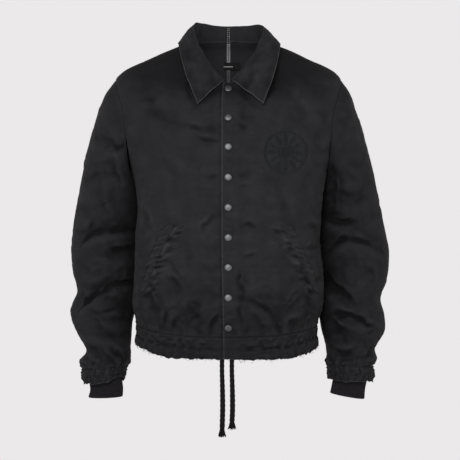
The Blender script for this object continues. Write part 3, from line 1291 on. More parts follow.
    def drawn_in_end(self) -> Cloth:
        """The sleeve's end below the cuff seam, drawn in by elastic, with a turned edge."""
        rows = np.linspace(self.seam_row, self.edge_row, 32)
        columns = self.columns + 72
        points, normals = self.surface(rows, columns)
        points[0, :, 2] -= SEAM_GAP / 2
        phase = (np.arange(columns) / columns * self.gathers) % 1.0
        waves = -self.gather_depth * (1 - np.abs(2 * phase - 1))
        drawn_in = ramp(rows, self.seam_row, self.seam_row + 1)[:, None]
        place = self.wheel(rows, columns, 15.0, 1.4)
        puffs = 4.4 * np.abs(rumple(place, 46)) + 1.6 * np.abs(rumple(place * 2.1, 47)) - 1.8
        moved = 0.5 * waves * drawn_in + puffs
        for sewn in (self.seam_row, self.seam_row + 0.75):
            moved -= 0.8 * bell((rows - sewn) / 0.1)[:, None]
        outer = points + normals * moved[..., None]
        low = ramp(rows, self.edge_row - 1.2, self.edge_row)[:, None]
        outer[..., 2] += 3.2 * rumple(self.wheel(rows, columns, 13.0, 0.4), 48) * low
        turn = turns(columns)
        outer[..., 2] += self.edge_lift * bell((turn - 2.45) / 0.75) * low
        dye = self.dye_left(points)
        cloth = Cloth(outer, outer - normals * WALL, tube=True, height=moved, dye=dye)
        cloth.edge = np.broadcast_to((self.edge_row - rows)[:, None] * 16.0 + 0.8, moved.shape)
        return cloth

    def rib_cuff(self) -> Cloth:
        """The rib knit cuff: rings below the cuff seam, each with rounded ribs all round."""
        columns = self.rib_count * 6
        seam, normals = self.surface(np.array([self.seam_row + 0.08]), columns)
        below = self.ring_points(self.rib_rings, columns)
        rings = np.concatenate([seam - normals * (WALL + SEAM_GAP), below])
        places = np.linspace(0, len(rings) - 1, 40)
        points = curve_through(np.arange(len(rings)), rings, places)
        spokes = unit(rings[2] - rings[2].mean(axis=0))
        share = ramp(places, 0.0, 1.0)[:, None, None]
        directions = unit(share * spokes + (1 - share) * normals[0])
        ribs = np.abs(np.cos(math.pi * np.arange(columns) * self.rib_count / columns)) ** 0.7
        turned = ramp(len(rings) - 1 - places, 0.0, 0.12)[:, None]
        sunk = self.rib_relief * (1 - ribs * turned) * ramp(places, 0.2, 0.8)[:, None]
        outer = points - directions * sunk[..., None]
        return Cloth(outer, points - directions * self.knit_wall, tube=True)


def sleeves(form: BodyForm) -> list[Sleeve]:
    """Both sleeves, each with its own rings and creases.

    Args:
        form: The body that they start from.

    Returns:
        The right and the left sleeve.
    """
    right = Sleeve(
        form,
        Side.RIGHT,
        rings=np.array([
            (247.5, -103.5, 180, -276, 8, 81), (269, -158.5, 180, -297.5, 22, 83),
            (288, -220, 180, -321.5, 36, 81), (302.5, -294, 180, -351.5, 45, 77),
            (315, -365, 180, -392.5, 50, 74),
            (319.5, -416, 180, -429, 50, 72),  # elbow
            (315, -459.5, 180, -463.5, 49, 70),
            (307.5, -498.5, 180, -494, 46, 65),  # crease under the elbow
            (319.5, -536, 180, -522.5, 41, 66), (308, -571.5, 193.5, -559, 34, 62),
            (286.5, -612.5, 197, -603.5, 24, 54),  # crease over the cuff
            (298, -633.5, 197, -625.5, 18, 56),
            (295, -650, 201, -643.5, 14, 52),  # cuff seam
            (295, -665, 204.5, -659.5, 11, 50),
            (289.5, -679, 207, -676, 8, 47),  # cuff edge
        ]),
        creases=np.array([
            (-306, -410, -262, -372, -186, -366, 13, 13),  # over the elbow
            (-250, -412, -220, -420, -188, -412, 8, 12),
            (-308, -538, -256, -490, -190, -480, 16, 13),  # under the elbow
            (-272, -556, -244, -580, -208, -584, 8, 12),
            (-242, -186, -228, -206, -210, -208, 6, 12),  # at the armhole
            (-256, -236, -246, -290, -224, -346, 7, 16),
            (-284, -618, -250, -606, -212, -618, 8, 10),  # over the cuff
        ]),
        fine_creases=np.array([
            (-296, -400, -264, -376, -186, -371, 4, 5.5), (-286, -378, -278, -366, -270, -354, 3, 5),
            (-252, -400, -220, -408, -186, -402, 3.6, 5),
            (-304, -532, -256, -490, -188, -475, 6, 5),  # core of the deep fold
            (-276, -530, -256, -537, -230, -528, 3.4, 5), (-258, -546, -238, -544, -216, -546, 3, 4.5),
            (-260, -553, -242, -570, -211, -578, 4.4, 4.5), (-246, -500, -234, -503, -220, -500, 2.4, 5),
            (-233, -190, -214, -206, -198, -196, 3.4, 5),  # at the armhole
            (-232, -216, -224, -250, -212, -284, 2.6, 7), (-262, -250, -256, -300, -240, -340, 2.4, 8),
            (-292, -440, -270, -452, -236, -452, 2, 9),
            (-284, -600, -266, -610, -250, -628, 3.6, 6),  # over the cuff
            (-262, -604, -242, -618, -224, -634, 4.4, 6), (-236, -600, -222, -612, -208, -630, 3.4, 6),
            (-288, -622, -276, -630, -262, -636, 3.4, 5),
        ]),
        rib_rings=np.array([
            (282.5, -667.5, 212.5, -665.5, 8, 33), (277, -689.5, 211, -688.5, 5, 30),
            (280.5, -706.5, 211.5, -704.5, 2, 31.5),
        ]),
        dark_places=np.array([
            (-296, -388, -253, -376, -184, -370, 1.3, 9),  # over the elbow
            (-259, -401, -214, -406, -184, -407, 0.9, 6),
            (-296, -518, -262, -490, -190, -476, 1.6, 7),  # under the elbow
            (-298, -490, -286, -506, -276, -520, 1, 10), (-270, -534, -246, -533, -222, -528, 0.8, 5),
            (-258, -551, -238, -569, -212, -577, 0.9, 6), (-224, -505, -214, -530, -212, -556, 1, 13),
            (-234, -262, -228, -310, -218, -350, 0.7, 9),  # down from the armhole
            (-270, -616, -246, -628, -226, -620, 1, 8),  # over the cuff
        ]),
        edge_lift=14.0,
    )
    left = Sleeve(
        form,
        Side.LEFT,
        rings=np.array([
            (245.5, -103.5, 180, -276, 8, 81), (264, -156.5, 180, -297.5, 22, 83),
            (283.5, -220, 180, -321.5, 36, 81), (301, -294, 180, -351.5, 45, 77),
            (316.5, -362, 180, -392.5, 50, 74),
            (326.5, -425, 180, -431, 50, 72),  # elbow
            (321.5, -474, 180, -467.5, 49, 69),
            (308, -510.5, 180, -502.5, 46, 65),  # crease under the elbow
            (315, -544, 180, -535, 41, 66), (314, -577.5, 187, -568.5, 34, 62),
            (295.5, -608.5, 196, -603.5, 24, 55),  # crease over the cuff
            (299, -628.5, 198, -625.5, 18, 56),
            (291, -644.5, 195.5, -639.5, 14, 52),  # cuff seam
            (293, -660.5, 197, -654.5, 11, 50),
            (289.5, -674.5, 197, -668.5, 8, 47),  # cuff edge
        ]),
        creases=np.array([
            (196, -334, 220, -354, 264, -354, 10, 12),
            (188, -414, 246, -376, 314, -420, 11, 14),  # over the elbow
            (194, -450, 214, -492, 256, -516, 12, 13),  # inside the elbow
            (204, -542, 250, -544, 306, -572, 12, 12), (208, -556, 240, -588, 300, -592, 8, 11),
            (202, -240, 214, -284, 214, -336, 9, 12),  # down from the armhole
            (232, -280, 252, -300, 278, -280, 6, 15),
            (210, -606, 246, -620, 286, -606, 8, 10),  # over the cuff
        ]),
        fine_creases=np.array([
            (194, -341, 214, -355, 250, -354, 4.6, 5.5),
            (200, -410, 240, -388, 306, -412, 4.6, 6),  # core of the arch
            (188, -452, 210, -484, 250, -510, 4.6, 6), (202, -538, 246, -540, 300, -570, 5, 5),
            (206, -550, 236, -570, 298, -572, 4.2, 4.5), (214, -566, 226, -580, 240, -592, 3.6, 5),
            (204, -246, 208, -280, 208, -330, 3.6, 6),  # down from the armhole
            (226, -300, 244, -312, 266, -304, 2.8, 9), (270, -444, 282, -456, 290, -474, 2, 7),
            (282, -500, 286, -520, 290, -538, 2.6, 7),
            (210, -604, 230, -617, 250, -604, 4.4, 5),  # over the cuff
            (252, -608, 270, -618, 288, -610, 3.6, 5), (216, -626, 236, -632, 256, -628, 3, 5),
            (268, -590, 282, -598, 296, -610, 3.4, 5), (230, -130, 226, -170, 214, -200, 2.4, 8),
        ]),
        rib_rings=np.array([
            (280.5, -663.5, 209.5, -658.5, 8, 33), (274, -688.5, 207, -680.5, 5, 30),
            (272, -709.5, 203, -697.5, 2, 31.5),
        ]),
        dark_places=np.array([
            (192, -256, 202, -294, 194, -334, 1.3, 12),  # at the armhole
            (196, -310, 237, -304, 288, -314, 0.9, 13), (188, -336, 208, -348, 256, -358, 1.4, 8),
            (204, -398, 237, -387, 308, -400, 1.2, 8),  # over the elbow
            (250, -398, 284, -400, 312, -412, 0.8, 10),
            (182, -438, 208, -476, 254, -512, 1.3, 9),  # inside the elbow
            (186, -452, 196, -474, 214, -494, 1, 12), (204, -546, 237, -540, 282, -562, 1.2, 7),
            (200, -543, 237, -571, 300, -579, 0.9, 4.5), (186, -546, 194, -568, 206, -588, 1.1, 12),
            (212, -562, 226, -574, 244, -584, 0.9, 8),
            (206, -602, 228, -614, 250, -606, 1, 9),  # over the cuff
            (274, -606, 284, -616, 292, -626, 1, 7),
        ]),
        edge_lift=0.0,
    )
    return [right, left]


# Collar


@dataclass
class Collar:
    """The one-piece collar, from its right point round the back of the neck to its left point.

    Station columns, from the front end to the centre back: station, seam angle, fold x, y and z,
    edge x, y and z, fold shift, edge shift, fold drop, with x measured outward.
    """

    form: BodyForm
    stations: Array = table(
        (0, 5, 9.5, -75, -78.5, 63.5, -112, -128.5, -1.5, 3.8, 0),  # point
        (0.12, 18, 25, -69, -59, 73, -105, -103, -1, 3.4, 0),
        (0.25, 38, 42, -60, -36, 83.5, -93, -76.5, -0.5, 3, 0),
        (0.4, 60, 57, -42, -8, 94, -68, -40, 0, 2.5, 0), (0.55, 85, 68, -16, 21, 101, -26, -4.5, 0.5, 2, 1),
        (0.68, 108, 69, 14, 40, 100, 22, 0, 1, 1.5, 2), (0.8, 135, 56, 42, 45, 81, 64, -6, 1, 1, 1.5),
        (0.9, 158, 30, 60, 44, 45, 91, -14, 0.5, 0.5, 0.5),
        (1, 180, 0, 66, 42.5, 0, 100, -18, 0, 0, 0),  # centre back
    )
    seam_gap: float = 0.95
    fold_radius: float = 2.6
    belly: float = 3.0
    clearance: float = 2.8
    lift: float = 5.0
    half_columns: int = 105
    rows: int = 46

    def section(self, row: Array, side: int) -> tuple[Array, Array]:
        """A cross-section of the collar: up the stand, over the fold and down the fall.

        Args:
            row: A station's columns.
            side: 1 on the wearer's left, -1 on the right.

        Returns:
            Eight points, and the way the collar faces at each.
        """
        _, seam_angle, fold_x, fold_y, fold_z, edge_x, edge_y, edge_z, fold_shift, edge_shift, drop = row
        form, radius = self.form, self.fold_radius
        angle = side * math.radians(seam_angle) + fold_shift / form.rings[-1, 4]
        cloth = form.cloth(angle, form.neck, over=side > 0, fine=False)
        normal = form.normal(angle, form.neck)
        up_it = unit(form.point(angle, form.neck) - form.point(angle, form.neck - 4.0))
        seam = cloth.inner + up_it * self.seam_gap
        fold = np.array([side * fold_x + fold_shift, fold_y, fold_z - side * drop])
        edge = np.array([side * edge_x + edge_shift, edge_y, edge_z])
        rise = unit(fold - seam)
        over = unit(normal - (normal @ rise) * rise)
        inner_fold, outer_fold = (fold + radius * (way * over - rise) for way in (-1, 1))
        fall = edge - outer_fold
        face = unit(normal - (normal @ unit(fall)) * unit(fall))
        stand = (seam + inner_fold) / 2 - over * radius / 3
        upper_fall = outer_fold + 0.33 * fall + self.belly * face
        lower_fall = outer_fold + 0.7 * (fall + self.belly * face)
        points = [seam, stand, inner_fold, fold, outer_fold, upper_fall, lower_fall, edge]
        return np.array(points), np.array([-normal, -over, -over, rise, over, face, face, face])

    def clear_of_body(self, points: Array) -> Array:
        """Points moved out along the body's normals until a wall behind them clears its cloth."""
        form = self.form
        angles = np.linspace(-math.pi, math.pi, 361)
        levels = np.linspace(form.shoulder - 60, form.neck, 81)[:, None]
        surface = form.point(angles, levels).reshape(-1, 3)
        normals = form.normal(angles, levels).reshape(-1, 3)
        flat = points.reshape(-1, 3)
        nearest = np.concatenate([
            ((part[:, None] - surface) ** 2).sum(axis=-1).argmin(axis=1)
            for part in np.array_split(flat, max(len(flat) // 200, 1))])
        height = np.sum((flat - surface[nearest]) * normals[nearest], axis=-1)
        lap = form.lap_rise * (1 - ramp(np.abs(flat[:, 0]), form.underlap_x, form.lap_fade_x))
        lift = np.maximum(self.clearance + lap - height, 0)
        return (flat + normals[nearest] * lift[:, None]).reshape(points.shape)

    def cloth(self) -> Cloth:
        """The collar's grids, with the pucker of its topstitched edge and its worn rim."""
        shares = spaced(330.0, 330.0 / self.half_columns, (0.0, 0.8, 1.8, 3.0, 4.5))
        shares = np.concatenate([shares[shares < 0.985], [1.0]])
        stations = curve_through(self.stations[:, 0], self.stations, shares)
        sections = [self.section(row, -1) for row in stations]
        sections += [self.section(row, 1) for row in stations[-2::-1]]
        points, facing = np.array(sections).transpose(1, 2, 0, 3)
        places = np.concatenate([np.linspace(0, 2, 12), np.linspace(2, 4, 14)[1:],
                                 np.linspace(4, 6.75, self.rows - 30)[1:], [6.85, 6.93, 6.97, 7.0]])
        points, facing = (curve_through(np.arange(8), values, places) for values in (points, facing))
        facing = unit(facing)
        falls = places > 4
        points[falls] = self.clear_of_body(points[falls])
        to_rim = run_lengths(points[::-1], 0)[::-1]
        round_it = run_lengths(points, 1)
        ends = np.minimum(round_it, round_it[:, -1:] - round_it)
        edge = np.minimum(to_rim, ends)
        seams = bell((edge - 6.5) / 1.5) + bell(edge - 2.4)
        seams = seams * falls[:, None]
        place = xyz(round_it / 7.0, to_rim / 9.0, 0)
        moved = 0.9 * rumple(points / 30.0, 51) + 0.25 * rumple(place, 52)
        moved = moved * falls[:, None] - 0.55 * seams
        stand = ramp(places, 0.2, 0.8)[:, None] * ~falls[:, None]
        moved += 1.5 * rumple(points / (13.0, 13.0, 19.0), 53) * stand
        moved += 1.7 * rumple(points / (11.0, 11.0, 24.0), 54) * falls[:, None]
        near_point = 1 - ramp(points[..., 2], -75.0, -25.0)
        whole_fall = to_rim[27:28]
        down_it = ramp(whole_fall - to_rim, 0.0, whole_fall)
        lifted = self.lift * near_point * down_it * falls[:, None]
        points = points - (0.0, 1.0, 0.0) * lifted[..., None]
        outer = points + facing * moved[..., None]
        up_stand = np.abs(run_lengths(points, 0) - 2.6)
        worn = np.where(falls[:, None], edge, np.where((places > 3)[:, None], to_rim, up_stand + 0.9))
        dye = 0.9 * (1 - ramp(edge, 10.0, 26.0)) * falls[:, None]
        return Cloth(outer, outer - facing * WALL, edge=worn, height=moved, dye=dye)

    def build(self) -> Cloth:
        """Makes the collar, and returns its grids for the stitching."""
        cloth = self.cloth()
        held_by = ["front_left", "front_right", "back_left", "back_right"]
        cloth.sheet("cloth_collar", TWILL, "collar", "folded", held_by)
        return cloth


# Small pieces


@dataclass
class PocketWelts:
    """The slanting welts of both hand pockets, on the fronts' own points."""

    form: BodyForm
    slant: float = 3.0
    rise: float = 1.0

    def cloth(self, side: Side, rows: int = 100, columns: int = 16) -> Cloth:
        """A welt: across it runs from -1 at its sewn side to 1 at the pocket's opening.

        Args:
            side: Which pocket.
            rows: Points down it.
            columns: Points across it.

        Returns:
            The welt's grids.
        """
        form = self.form
        along = np.linspace(0, 1, rows)[:, None]
        across = np.sin(np.linspace(-math.pi / 2, math.pi / 2, columns))
        widths = form.welt_half_widths
        half_width = np.interp(along, np.linspace(0, 1, len(widths)), widths)
        top_angle, top = form.pocket_top
        foot_angle, foot = form.pocket_foot
        angle = np.radians(top_angle + (foot_angle - top_angle) * along)
        level = top + (foot - top) * along
        angle = angle + across * half_width / form.speed(angle, level)
        level = level - across * self.slant
        base = form.cloth(side.value * angle, level, over=side is Side.LEFT)
        normal = form.normal(side.value * angle, level)
        tucks = xyz(across / 2.4, along * 25.0, side.value)
        puffed = 1.0 * rumple(tucks, 61) + 0.5 * rumple(tucks * 2.2, 62) + 0.5
        lip = 0.8 * ramp(across, 0.6, 1.0)
        inner = base.outer + normal * (self.rise * (0.65 + 0.35 * across))[..., None]
        thick = WALL * (0.45 + 0.55 * np.sqrt(np.clip(1 - across**8, 0, 1)))
        puff = (puffed * (1 - across**2) + lip + thick)[..., None]
        return Cloth(inner + normal * puff, inner, height=base.height + puffed * (1 - across**2))

    def build(self) -> dict[Side, Cloth]:
        """Makes both welts, and returns each side's grids for the stitching."""
        made = {side: self.cloth(side) for side in Side}
        for side, cloth in made.items():
            node = f"pocket_welt_{side.word}"
            cloth.sheet(f"cloth_{node}", TWILL, node, "laid", [f"front_{side.word}"])
        return made


@dataclass
class SnapCaps:
    """Nine snap caps down the lapping edge: a low dome with a rolled rim and a ring pressed in."""

    form: BodyForm
    diameter: float = 14.0
    height: float = 2.6
    seat: float = 0.85
    count: int = 9
    profile: tuple = (
        (0, 0.9), (0.18, 0.9), (0.34, 0.86), (0.44, 0.78), (0.5, 0.8), (0.6, 0.78), (0.72, 0.7),
        (0.84, 0.58), (0.93, 0.47), (0.98, 0.36), (1, 0.24), (0.985, 0.12), (0.94, 0.05), (0.8, 0), (0, 0))
    sides: int = 44

    def build(self) -> None:
        """Makes the caps: the profile turned about the cloth's own normal under each."""
        out, up = np.transpose(self.profile) * [[self.diameter / 2], [self.height]]
        turn = turns(self.sides)
        for number in range(self.count):
            level = self.form.level_at_z(self.form.snap_z - number * self.form.snap_pitch, 1)
            angle = self.form.angle_at_x(self.form.snap_x, level)
            axis = self.form.normal(angle, level)
            seat = self.form.cloth(angle, level, over=True, fine=False).outer + axis * self.seat
            across = unit(np.cross(axis, (1.0, 0.0, 0.0)))
            other = np.cross(axis, across)
            spokes = np.cos(turn)[:, None] * across + np.sin(turn)[:, None] * other
            rings = seat + up[:, None, None] * axis + out[:, None, None] * spokes
            piece = closed_tube(f"snap_cap_{number + 1}", rings, GUNMETAL)
            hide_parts(f"snap_{number + 1}")
        LOG.info("%d snap caps", self.count)


@dataclass
class Drawcords:
    """The hem drawcord's two free ends, which hang from behind the band, and their frayed ends."""

    form: BodyForm
    diameter: float = 8.8
    exit_z: float = -600.0
    ends: tuple = ((Side.RIGHT, -12.0, -753.0), (Side.LEFT, 7.0, -738.5))
    route: tuple = ((0.0, 0.0, -600.0), (-0.4, 0.0, -640.0), (0.6, 0.6, -680.0), (0.9, 1.2, -715.0))
    end_lean: float = 1.5
    tuft_length: float = 17.0
    tuft_diameter: float = 17.0
    carriers: int = 8
    braid_pitch: float = 19.0

    def path(self, x: float, end_z: float, points: int) -> Array:
        """A cord's centreline: the smooth curve through its route, from its exit to its end."""
        form = self.form
        level = form.level_at_z(self.exit_z, 1)
        outer = form.cloth(form.angle_at_x(x, level), level, fine=False).outer
        hang_y = outer[1] + WALL + 2 * SEAM_GAP + self.diameter / 2
        route = [(x + sway, hang_y - lean, z) for sway, lean, z in self.route]
        route = np.array(route + [(x, hang_y - self.end_lean, end_z)])
        return curve_through(np.arange(len(route)), route, np.linspace(0, len(route) - 1, points))

    def build(self) -> None:
        for side, x, end_z in self.ends:
            path = self.path(x, end_z, 160)
            cord = self.braid(f"braid_cord_{side.word}", path)
            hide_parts(f"drawcord_{side.word}")
            tuft = self.tuft(f"cord_tuft_{side.word}", path[-1], 70 + side.value)
            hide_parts(f"drawcord_tuft_{side.word}")

    def braid(self, name: str, path: Array) -> bpy.types.Object:
        """A round braid: the radius bulges where strands of two crossing helices come up.

        The bulge is |sin(n t + k s)| or |sin(n t - k s)|, whichever is more, with t the turn round
        the cord, s the run along it and n a quarter of the number of carriers.
        """
        turn = turns(40)
        run = run_lengths(path, 0)[:, None]
        twist = 2 * math.pi * run / self.braid_pitch
        up_left, up_right = (
            np.abs(np.sin(self.carriers / 4 * turn + way * twist)) for way in (1, -1))
        radius = self.diameter / 2 * (0.9 + 0.14 * np.maximum(up_left, up_right) ** 1.5)
        radius = radius * (1 + 0.13 * ramp(run, 40.0, 110.0))
        spokes = xyz(np.cos(turn), np.sin(turn), 0)
        outer = path[:, None] + radius[..., None] * spokes
        first, last = (path[[end], None] + 0 * spokes for end in (0, -1))
        return closed_tube(name, np.concatenate([first, outer, last]), BRAID)

    def tuft(self, name: str, end: Array, seed: int) -> bpy.types.Object:
        """The frayed end: yarns that spread from the cord's end and curl a little outwards.

        Args:
            name: The object's name.
            end: The cord's last point.
            seed: Picks the yarns.

        Returns:
            The object.
        """
        count, points = 90, 7
        random = np.random.default_rng(seed)
        turn = random.uniform(0, 2 * math.pi, count)
        out = np.sqrt(random.uniform(0, 1, count))
        length = self.tuft_length * random.uniform(0.72, 1.0, count)
        down = np.linspace(0, 1, points)
        start, spread = 0.42 * self.diameter, self.tuft_diameter / 2 - 0.6
        reach = out[:, None] * (start + (spread - start) * down**1.6)
        sway = 0.8 * np.sin(3.2 * down + random.uniform(0, 6, count)[:, None]) * down
        x = reach * np.cos(turn)[:, None] + sway
        y = reach * np.sin(turn)[:, None] - sway
        z = 1.5 - (length[:, None] + 1.5) * down
        paths = end - (0, 0, SEAM_GAP) + xyz(x, y, z)
        radius = 0.62 * (1 - 0.45 * down**2) * np.ones((count, 1))
        made, faces = strands(paths, radius, 5)
        return new_object(name, made, faces, BRAID)


@dataclass
class NeckDetails:
    """What shows inside the back of the neck: the tape over the seam, and the bare label."""

    form: BodyForm
    tape_width: float = 7.2
    tape_inset: float = 1.1
    tape_thickness: float = 0.9
    label_x: float = 8.0
    label_top_z: float = -30.0
    label_size: tuple = (34.0, 15.0)
    stripe_size: tuple = (19.0, 2.1)

    def strip(self, centre_x: float, width: float, levels: Array, inset: float, thickness: float) -> Cloth:
        """A flat strip laid inside the back, its face turned to the neck opening."""
        form = self.form
        centre = np.full_like(levels, math.pi)
        shares = np.linspace(-0.5, 0.5, max(int(width / 1.5), 2))
        across = (centre_x + shares * width) / form.speed(centre, levels)[:, None]
        angles = math.pi - across
        normal = form.normal(angles, levels[:, None])
        near = form.point(angles, levels[:, None]) - normal * (WALL + inset)
        return Cloth(near - normal * thickness, near)

    def build(self) -> None:
        """Makes the tape, the label and the plain stripe woven into it."""
        form = self.form
        levels = np.linspace(form.band + 2.0, form.neck, 260)
        cloth = self.strip(0.0, self.tape_width, levels, self.tape_inset, self.tape_thickness)
        label_foot = form.level_at_z(self.label_top_z - self.label_size[1], 3)
        cloth.dye = 1.5 * (1 - ramp(levels, label_foot - 6.0, label_foot + 4.0))[:, None]
        piece = cloth.object("seam_tape", TAPE)
        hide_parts("back_seam_tape")
        top, foot = (form.level_at_z(self.label_top_z - drop, 3) for drop in (0.0, self.label_size[1]))
        inset = self.tape_inset + self.tape_thickness + SEAM_GAP
        levels = np.linspace(foot, top, 12)
        cloth = self.strip(self.label_x, self.label_size[0], levels, inset, self.tape_thickness)
        cloth.sheet("label", LABEL, "neck_label", "laid", ["back_seam_tape"])
        middle = (top + foot) / 2 - 1.8
        levels = middle + np.array([-0.5, 0.5]) * self.stripe_size[1]
        inset += self.tape_thickness - 0.3
        cloth = self.strip(-0.4, self.stripe_size[0], levels, inset, 0.5)
        cloth.object("label_stripe", PALE_THREAD)
        LOG.info("seam tape, label and its stripe")


@dataclass
class ChestBadge:
    """A plain tone-on-tone badge on the left chest: a rosette of petals in a ring, in satin stitch."""

    form: BodyForm
    centre_x: float = 110.0
    centre_z: float = -223.0
    radius: float = 42.0
    petals: int = 12
    thread: float = 0.42

    def rows(self) -> tuple[Array, Array]:
        """Both ends of each satin stitch, in millimetres from the badge's centre."""
        first, last = [], []
        ring = turns(330)
        for inner, outer in ((0.90, 1.0), (0.30, 0.37)):
            lean = ring + 0.02
            first.append(self.radius * inner * np.stack([np.cos(ring), np.sin(ring)], axis=-1))
            last.append(self.radius * outer * np.stack([np.cos(lean), np.sin(lean)], axis=-1))
        along = np.linspace(0.03, 0.97, 40)
        half = 0.085 * self.radius * np.sin(math.pi * along) ** 0.7
        reach = self.radius * (0.40 + 0.46 * along)
        for number in range(self.petals):
            turn = 2 * math.pi * number / self.petals
            out = np.array([math.cos(turn), math.sin(turn)])
            side = np.array([-out[1], out[0]])
            spine = reach[:, None] * out
            first.append(spine - half[:, None] * side)
            last.append(spine + half[:, None] * side + 0.6 * out)
        across = np.linspace(-0.92, 0.92, 26) * 0.24 * self.radius
        span = np.sqrt((0.24 * self.radius) ** 2 - across**2)
        first.append(np.stack([-span, across], axis=-1))
        last.append(np.stack([span, across], axis=-1))
        return np.concatenate(first), np.concatenate(last)

    def build(self) -> None:
        """Makes the badge: each stitch arches from end to end over the front's own points."""
        first, last = self.rows()
        share = np.array([0.0, 0.12, 0.5, 0.88, 1.0])[:, None]
        flat = first[:, None] * (1 - share) + last[:, None] * share
        form = self.form
        levels = np.full(flat.shape[:2], float(form.level_at_z(self.centre_z, 1)))
        for _ in range(12):
            angles = form.angle_at_x(self.centre_x + flat[..., 0], levels)
            levels += 0.9 * (self.centre_z + flat[..., 1] - form.point(angles, levels)[..., 2])
        cloth = form.cloth(angles, levels, over=True)
        lift = (0.05 + 0.6 * np.sin(math.pi * share[:, 0]) ** 0.5)[:, None]
        paths = cloth.outer + form.normal(angles, levels) * lift
        points, faces = strands(paths, np.full(paths.shape[:2], self.thread), 4)
        piece = new_object("chest_badge", points, faces, EMBROIDERY)
        LOG.info("%s: %d satin stitches", piece.name, len(first))


